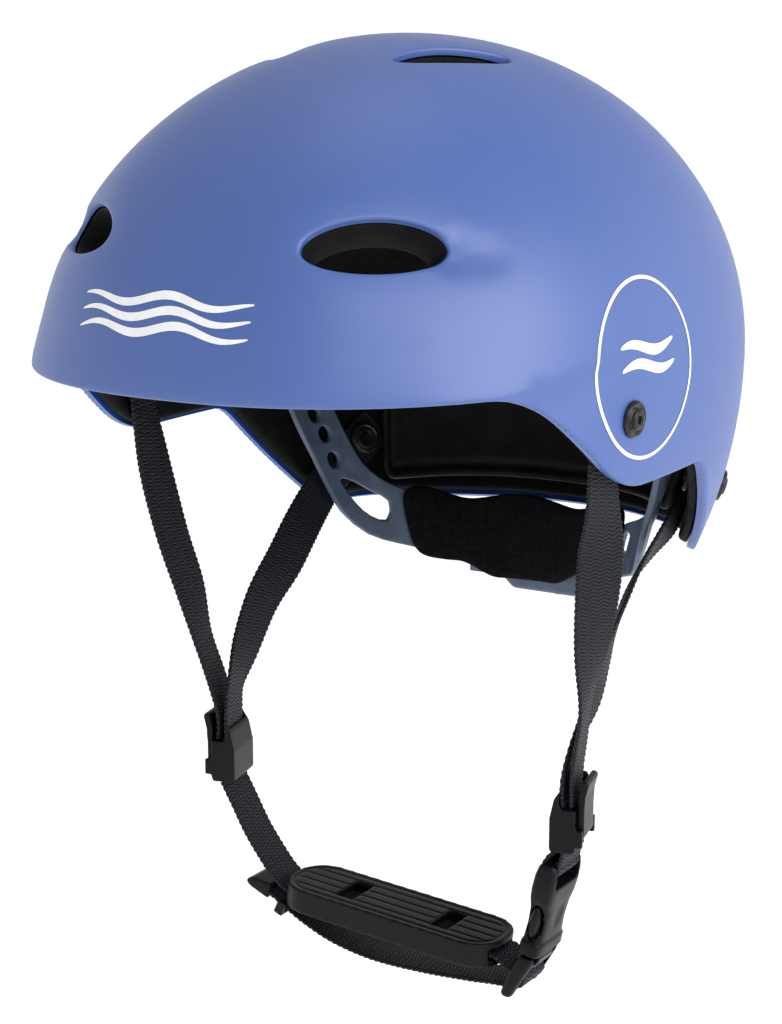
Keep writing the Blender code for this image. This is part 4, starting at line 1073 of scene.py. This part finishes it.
def make_nape_pad():
    """Thick brushed sleeve over the band, wrapped round the arm at each end."""
    columns, sides = 40, 28
    low_turn, high_turn = math.radians(48.5), math.radians(144)
    points = []
    for column in range(columns + 1):
        share = column / columns
        end = min(share, 1 - share)
        ends = (1 - abs(2 * share - 1) ** 7) ** 0.5
        wrap = 1 - smooth_step(end, 0.10, 0.16)
        top = -66.4 + 1.6 * math.cos(4 * math.pi * share) - 3.6 * smooth_step(end, 0.1, 0.3)
        bottom = -96.4 - 6.8 * smooth_step(end, 0.18, 0.36)
        middle, half = (top + bottom) / 2, (top - bottom) / 2
        inner, outer = -7.0, -1.6 + 4.0 * wrap
        for side in range(sides):
            angle = 2 * math.pi * side / sides
            across, up = squarer(math.cos(angle), 0.55), squarer(math.sin(angle), 0.75)
            out = (inner + outer) / 2 + (outer - inner) / 2 * across * ends
            height = middle + half * up * (0.55 + 0.45 * ends)
            turn = low_turn + (high_turn - low_turn) * share
            points.append(cradle_point(turn, height, out))
    faces = tube_faces(columns + 1, sides) + end_caps(columns + 1, sides)
    pad = new_mesh("nape_pad_stuffed", points, faces, PLUSH)
    face_outwards(pad)
    held = [column * sides + side for column in range(4, columns - 3) for side in range(sides)
            if math.cos(2 * math.pi * side / sides) > 0.2]
    puff(pad, held, 3.0, 2.5)
    refine(pad, 1)
    stand_for(pad, "cradle", "pad_fabric", "nape_pad")


# ---- moulded fittings ----


def joined(name, solids, material):
    """One object from several, which are removed."""
    shape = bmesh.new()
    for solid in solids:
        shape.from_mesh(solid.data)
    mesh = bpy.data.meshes.new(name)
    shape.to_mesh(mesh)
    shape.free()
    mesh.materials.append(material)
    item = bpy.data.objects.new(name, mesh)
    bpy.context.scene.collection.objects.link(item)
    for solid in solids:
        bpy.data.objects.remove(solid)
    return item


def prism(outline, half, spot):
    """Solid from an outline out and along and a half width across; spot turns the three into a place."""
    count = len(outline)
    points = [spot(u, w, v) for w in (-half, half) for u, v in outline]
    return face_outwards(new_mesh("solid", points, tube_faces(2, count) + end_caps(2, count), BLACK))


def brick(size, centre, spot):
    """Box by its size out, across and along, about a centre in the same directions."""
    out, across, along = centre
    corners = ((-1, -1), (1, -1), (1, 1), (-1, 1))
    outline = [(size[0] / 2 * u, size[2] / 2 * v) for u, v in corners]
    return prism(outline, size[1] / 2, lambda u, w, v: spot(out + u, across + w, along + v))


def peg(radius, half, centre, spot, stretch=1.0):
    """Round bar across, at a centre out and along; stretch makes it oval along."""
    angles = [2 * math.pi * step / 28 for step in range(28)]
    outline = [(radius * math.cos(a), radius * stretch * math.sin(a)) for a in angles]
    out, across, along = centre
    return prism(outline, half, lambda u, w, v: spot(out + u, across + w, along + v))


def bulge(sizes, centre, spot):
    """Rounded lump with half sizes out, across and along."""
    out, across, along = centre
    sections = []
    for ring in range(13):
        rise = min(max(math.pi * ring / 12, 0.02), math.pi - 0.02)
        share = math.sin(rise)
        sections.append((along - sizes[2] * math.cos(rise), sizes[0] * share, sizes[1] * share, out))
    return loft(sections, lambda u, w, v: spot(u, across + w, v), 20, 1.0)


def loft(sections, spot, sides=36, power=0.42):
    """Body from sections: (along, half thickness, half width, thickness shift), each a rounded rectangle."""
    points = []
    for along, half_out, half_across, shift in sections:
        for step in range(sides):
            angle = 2 * math.pi * step / sides
            across, out = squarer(math.cos(angle), power), squarer(math.sin(angle), power)
            points.append(spot(shift + half_out * out, half_across * across, along))
    faces = tube_faces(len(sections), sides) + end_caps(len(sections), sides)
    return face_outwards(new_mesh("solid", points, faces, BLACK))


def melt(item, voxel):
    change = item.modifiers.new("melt", "REMESH")
    change.mode = "VOXEL"
    change.voxel_size = voxel * MM


def moulded(name, solids, cuts=(), extras=(), voxel=0.36, passes=4, material=BLACK):
    """Melt solids into one skin, cut it, add the extras and round every edge a little."""
    item = joined(name, solids, material)
    if cuts:
        melt(item, voxel)
        for cutter in cuts:
            change = item.modifiers.new("cut", "BOOLEAN")
            change.operation = "DIFFERENCE"
            change.solver = "EXACT"
            change.object = cutter
        bake(item)
        for cutter in cuts:
            bpy.data.objects.remove(cutter)
    if extras:
        item = joined(name, [item, *extras], material)
    melt(item, voxel)
    soft = item.modifiers.new("soft", "SMOOTH")
    soft.factor = 0.5
    soft.iterations = passes
    bake(item)
    item.name = name
    item.data.materials.clear()
    item.data.materials.append(material)
    item.data.polygons.foreach_set("use_smooth", [True] * len(item.data.polygons))
    return item


def copied(node):
    """A solid with a CAD node's shape."""
    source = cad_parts[node]
    item = bpy.data.objects.new("solid", source.data.copy())
    item.data.transform(source.matrix_world)
    bpy.context.scene.collection.objects.link(item)
    return item


def softened(name, node, body, slot, material, voxel=0.4, passes=4):
    item = moulded(name, [copied(node)], voxel=voxel, passes=passes, material=material)
    return stand_for(item, body, slot, node)


def make_adjusters():
    """Slotted base with a notch in each narrow side, and a cam lever with a flared thumb tab."""
    for side, word in ((1, "left"), (-1, "right")):

        def spot(out, across, up):
            centre = place(ADJUSTER[0] * side, ADJUSTER[1], ADJUSTER[2])
            return centre + ADJUSTER_TURN @ Vector((out * side, across, up)) * MM

        outline = [(-5.5, -11), (-4.7, -12), (2.9, -12), (3.7, -11), (3.7, 11), (2.8, 12), (-0.8, 12),
                   (-4.0, 7), (-5.5, 0)]
        solids = [prism(outline, 9.8, spot)]
        solids += [brick((4.6, 2.0, 6), (3.9, end * 8.8, -6.5), spot) for end in (-1, 1)]
        cuts = [brick((7.2, 17.2, 30), (0.7, 0, 0), spot), brick((6.6, 12, 9), (1.2, -9, 9.4), spot),
                peg(1.6, 6, (-0.4, -9, 5.2), spot), brick((4, 12, 3), (2.4, -9, 5.1), spot)]
        base = moulded(f"adjuster_body_{word}", solids, cuts)
        stand_for(base, "helmet", "black_plastic", f"adjuster_base_{word}")

        def lever_spot(out, across, up):
            return spot(LEVER_HINGE[0] + out, across, LEVER_HINGE[1] + up)

        profile = [(-1.1, 0), (-0.8, -0.8), (0, -1.2), (0.8, -1.1), (1.2, 0.5), (1.2, 9), (1.5, 14),
                   (2.7, 18.8), (1.8, 19.9), (0.4, 19.9), (-0.8, 15.5), (-1.1, 12.0)]
        solids = [prism(profile, 7.2, lever_spot), peg(1.1, 9.1, (0, 0, 0), lever_spot)]
        lever = moulded(f"adjuster_cam_{word}", solids)
        stand_for(lever, f"{word}_lever", "black_plastic", f"adjuster_lever_{word}")


def make_buckle():
    """Curved side-release buckle: shouldered socket, sprung prongs with grips, and a tapering plug."""
    sections = [(11.9, 3.7, 9.6, 0), (12.6, 4.4, 10.6, 0), (16.6, 4.4, 10.4, 0), (17.6, 3.9, 9.4, 0),
                (24, 3.9, 8.6, 0), (30, 4.1, 9.2, 0), (34, 4.5, 10.8, 0), (38, 4.7, 11.4, 0),
                (43, 4.5, 11.4, 0), (46.4, 3.9, 10.8, 0), (48.0, 2.8, 10.0, 0)]
    cuts = [brick((20, 16.8, 13), (0, 0, 46.0), buckle_place)]
    cuts.append(brick((5.4, 17.4, 26), (0, 0, 22.5), buckle_place))
    cuts += [peg(2.5, 3.6, (0, end * 11, 25), buckle_place, stretch=2.9) for end in (-1, 1)]
    cuts.append(bulge((2.6, 6.5, 8.5), (6.0, 0, 26), buckle_place))
    extras = [peg(BAR_RADIUS, 9.4, (0, 0, UPPER_BAR_AT), buckle_place)]
    socket = moulded("buckle_body", [loft(sections, buckle_place)], cuts, extras)
    stand_for(socket, "helmet", "black_plastic", "buckle_socket")

    sections = [(-6.4, 1.9, 10.2, 0.4), (-5.2, 2.6, 10.8, 0.2), (0, 3.1, 11.0, 0), (7.5, 3.6, 10.9, 0),
                (10.4, 3.6, 10.6, 0), (11.2, 3.0, 10.2, 0)]
    cuts = [brick((20, 16.8, 14.5), (0, 0, 0.2), plug_place)]
    cuts += [brick((20, 3.3, 4.4), (0, end * 6.8, 11.0), buckle_place) for end in (-1, 1)]
    extras = [peg(BAR_RADIUS, 9.8, (0, 0, 0), plug_place), brick((2.0, 3.4, 20), (-1.2, 0, 20), buckle_place)]
    plug = moulded("buckle_frame", [loft(sections, plug_place)], cuts, extras)
    stand_for(plug, "chin_assembly", "black_plastic", "buckle_plug")

    for end, word in ((-1, "front"), (1, "rear")):
        solids = [brick((2.0, 2.4, 21.6), (-1.2, end * 6.8, 21.3), buckle_place)]
        solids.append(bulge((2.1, 3.9, 7.0), (-0.2, end * 7.5, 25), buckle_place))
        stand_for(moulded(f"buckle_grip_{word}", solids), f"{word}_prong", "black_plastic", f"prong_{word}")


def make_strap_ends():
    """Rubber keeper and the notched wedge that ends the tail."""
    softened("tail_keeper", "strap_keeper", "chin_assembly", "chin_rubber", RUBBER, 0.3, 3)
    tilt = Matrix.Rotation(math.radians(16), 3, "Y")

    def spot(out, across, up):
        return place(-53.0, CHIN_Y, -201.6) + tilt @ Vector((out, across, up)) * MM

    outline = [(-6.4, 0.5), (-4.4, 2.2), (4.0, 3.0), (4.0, -2.9), (-4.4, -1.8), (-6.4, -0.7)]
    cuts = [brick((6.5, 15.4, 2.2), (3.4, 0, -0.3), spot), brick((3.6, 7, 12), (4.0, 0, 0), spot)]
    wedge = moulded("tail_wedge", [prism(outline, 8.6, spot)], cuts, passes=5)
    stand_for(wedge, "chin_assembly", "black_plastic", "strap_end_clip")


def rounded_rectangle(half_length, half_width, corner, steps=8):
    outline = []
    for end_x, end_y, start in ((1, 1, 0), (-1, 1, 90), (-1, -1, 180), (1, -1, 270)):
        for step in range(steps + 1):
            angle = math.radians(start + 90 * step / steps)
            outline.append((end_x * (half_length - corner) + corner * math.cos(angle),
                            end_y * (half_width - corner) + corner * math.sin(angle)))
    return outline


def make_chin_pad():
    """Ribbed rubber rest over the strap, with two cross windows and a flared strap mouth."""
    size = (45.0, 14.0, 12.0)
    body = prism(rounded_rectangle(*size), 4.5, lambda u, w, v: pad_place(u, v, w))
    cuts = [brick((120, 17, 4.4), (0, 0, -0.2), pad_place)]
    cuts += [brick((7.4, 16, 9), (along, 0, 5), pad_place) for along in (-19, 21)]
    flare = Matrix.Rotation(math.radians(34), 3, "Y")
    mouth = Vector((-46, 0, 2.2))

    def mouth_place(along, across, up):
        return pad_place(*(mouth + flare @ Vector((along, across, up))))

    cuts.append(brick((16, 17, 5), (0, 0, 0), mouth_place))
    pad = moulded("chin_rest", [body], cuts, voxel=0.42, material=RUBBER)
    turn = Matrix.Rotation(CHIN_PAD_TILT, 3, "Y")
    points = mesh_points(pad)
    local = (points - tuple(place(*CHIN_PAD_CENTRE))) @ np.array(turn) / MM
    inwards = corner_distance(local[:, 0], local[:, 1], *size)
    grooves = ridge(np.abs(local[:, 1]) % 5.0, 2.5, 0.5) * (inwards > 3.4)
    sink = 0.34 * np.maximum(grooves, ridge(inwards, 2.6, 0.6)) * smooth_step(local[:, 2], 3.6, 4.2)
    move_points(pad, points - tuple(turn @ Vector((0, 0, 1))) * (sink * MM)[:, None])
    stand_for(pad, "chin_assembly", "chin_rubber", "chin_pad")


def lathe(name, profile, centre, axis, sides=40):
    """Turned metal piece from (radius, height) pairs; its skin closes on the axis or on itself."""
    turn = Vector((0, 0, 1)).rotation_difference(Vector(axis)).to_matrix()
    points = []
    for radius, height in profile:
        for step in range(sides):
            angle = 2 * math.pi * step / sides
            spot = Vector((radius * math.cos(angle), radius * math.sin(angle), height))
            points.append(centre + turn @ spot * MM)
    item = new_mesh(name, points, tube_faces(len(profile), sides), METAL)
    edit(item, lambda shape: bmesh.ops.remove_doubles(shape, verts=shape.verts, dist=1e-6))
    face_outwards(item)
    sharpen(item, 40)
    return item


def make_rivets():
    """Domed rivet head in a dished ring outside, and a ring washer on the webbing inside."""
    head = [(0, 1.3), (1.0, 1.3), (1.2, 1.6), (1.4, 2.5), (1.8, 2.7), (2.9, 2.6), (3.3, 2.2), (3.4, 1.5),
            (3.9, 1.2), (4.5, 1.5), (5.1, 1.7), (5.7, 1.4), (6.0, 0.8), (6.0, 0.15), (2.1, 0.1), (2.1, -13.0),
            (0, -13.0)]
    ring = [(2.4, -11.2), (6.3, -11.2), (6.3, -11.8), (5.9, -12.3), (5.1, -12.5), (4.5, -12.1), (3.9, -12.4),
            (2.9, -12.5), (2.4, -12.2), (2.4, -11.2)]
    for side, word in ((1, "left"), (-1, "right")):
        for kind, (turn, height) in (("front", FRONT_RIVET), ("rear", REAR_RIVET)):
            centre, normal = dome_spot(turn * side, height)
            rivet = lathe(f"{kind}_rivet_head_{word}", head, centre, normal)
            stand_for(rivet, "helmet", "black_metal", f"{kind}_rivet_{word}")
            washer = lathe(f"{kind}_ring_{word}", ring, centre, normal)
            stand_for(washer, "helmet", "black_metal", f"{kind}_washer_{word}")


def make_cradle():
    for word in ("left", "right"):
        softened(f"cradle_band_{word}", f"cradle_arm_{word}", "cradle", "cradle_plastic", GREY, 0.45, 4)
    softened("nape_case", "nape_housing", "cradle", "cradle_plastic", GREY, 0.5, 4)
    softened("dial_knob", "fit_dial", "dial", "cradle_plastic", GREY, 0.4, 3)


# ---- camera and light ----

# Azimuths run from the front towards the wearer's left; distances are metres.
CAMERA_AIM_HEIGHT, CAMERA_AT = -55.07, (31.083, 12.629, 0.8205)
LENS, SHIFT, SEE_TO = 81.5625, -0.01276, 400
FLOOR_DROP, FLOOR_REACH, FLOOR_GLOW = 0.45, 90, 0.44
# The sky is white at the horizon and dims towards the top; heights are sines of elevation.
SKY_FADE, SKY_LIGHT = (0.17, 0.4), (1.05, 0.62)
LAMP_AIM_HEIGHT = 20
# Name, (azimuth, elevation, distance), (width, height), power.
LAMPS = [("key", (94, 15, 1.5), (1.2, 0.9), 12), ("front", (55, 36, 1.7), (1.2, 1.0), 8),
         ("top", (200, 75, 1.8), (1.0, 1.0), 2)]


def stand_at(name, data, height, azimuth, elevation, distance):
    """A camera or lamp at a distance from a point on the middle line, facing it."""
    turn, rise = math.radians(azimuth), math.radians(elevation)
    away = Vector((math.sin(turn) * math.cos(rise), -math.cos(turn) * math.cos(rise), math.sin(rise)))
    item = bpy.data.objects.new(name, data)
    item.location = place(0, 0, height) + away * distance
    item.rotation_mode = "QUATERNION"
    item.rotation_quaternion = (-away).to_track_quat("-Z", "Y")
    bpy.context.scene.collection.objects.link(item)
    return item


def make_camera():
    camera = stand_at("camera", bpy.data.cameras.new("camera"), CAMERA_AIM_HEIGHT, *CAMERA_AT)
    camera.data.lens = LENS
    camera.data.sensor_width = 36
    camera.data.shift_x = SHIFT
    camera.data.clip_end = SEE_TO
    bpy.context.scene.camera = camera


def make_floor():
    made = finish("studio_floor", (2, 3), [(0.3, (0.93, 0.93, 0.93)), (0.7, (0.95, 0.95, 0.95))],
                  roughness=0.9, specular=0.0)
    made.shader.inputs["Emission Color"].default_value = (1, 1, 1, 1)
    made.shader.inputs["Emission Strength"].default_value = FLOOR_GLOW
    lowest = cad_box[0].z - FLOOR_DROP
    corners = [(x * FLOOR_REACH, y * FLOOR_REACH, lowest) for x, y in ((-1, -1), (1, -1), (1, 1), (-1, 1))]
    floor = new_mesh("floor", corners, [(0, 1, 2, 3)], made.material, smooth=False)


def make_lamps():
    for name, spot, size, power in LAMPS:
        data = bpy.data.lights.new(name, "AREA")
        data.shape = "RECTANGLE"
        data.size, data.size_y = size
        data.energy = power
        stand_at(name, data, LAMP_AIM_HEIGHT, *spot)


def make_sky():
    world = bpy.data.worlds.new("studio")
    world.use_nodes = True
    tree = world.node_tree
    tree.nodes["Background"].inputs["Color"].default_value = (1, 1, 1, 1)
    heading = tree.nodes.new("ShaderNodeTexCoord")
    split = tree.nodes.new("ShaderNodeSeparateXYZ")
    fade = tree.nodes.new("ShaderNodeMapRange")
    fade.inputs["From Min"].default_value, fade.inputs["From Max"].default_value = SKY_FADE
    fade.inputs["To Min"].default_value, fade.inputs["To Max"].default_value = SKY_LIGHT
    tree.links.new(heading.outputs["Generated"], split.inputs[0])
    tree.links.new(split.outputs["Z"], fade.inputs["Value"])
    tree.links.new(fade.outputs["Result"], tree.nodes["Background"].inputs["Strength"])
    bpy.context.scene.world = world
    bpy.context.scene.view_settings.view_transform = "Standard"


make_camera()
make_floor()
make_lamps()
make_sky()
make_shell()
make_prints()
make_hanging_straps()
make_chin_webbing()
make_liner_pads()
make_crown_pad()
make_nape_pad()
make_adjusters()
make_buckle()
make_strap_ends()
make_chin_pad()
make_rivets()
make_cradle()

for peg_name in ("cradle_peg_left", "cradle_peg_right"):
    dress(peg_name, BLACK, 0.3)
for inner_name in ("rack_left", "rack_right", "fit_pinion"):
    dress(inner_name, GREY, 0.15)
dress("dial_screw", METAL, 0.15)
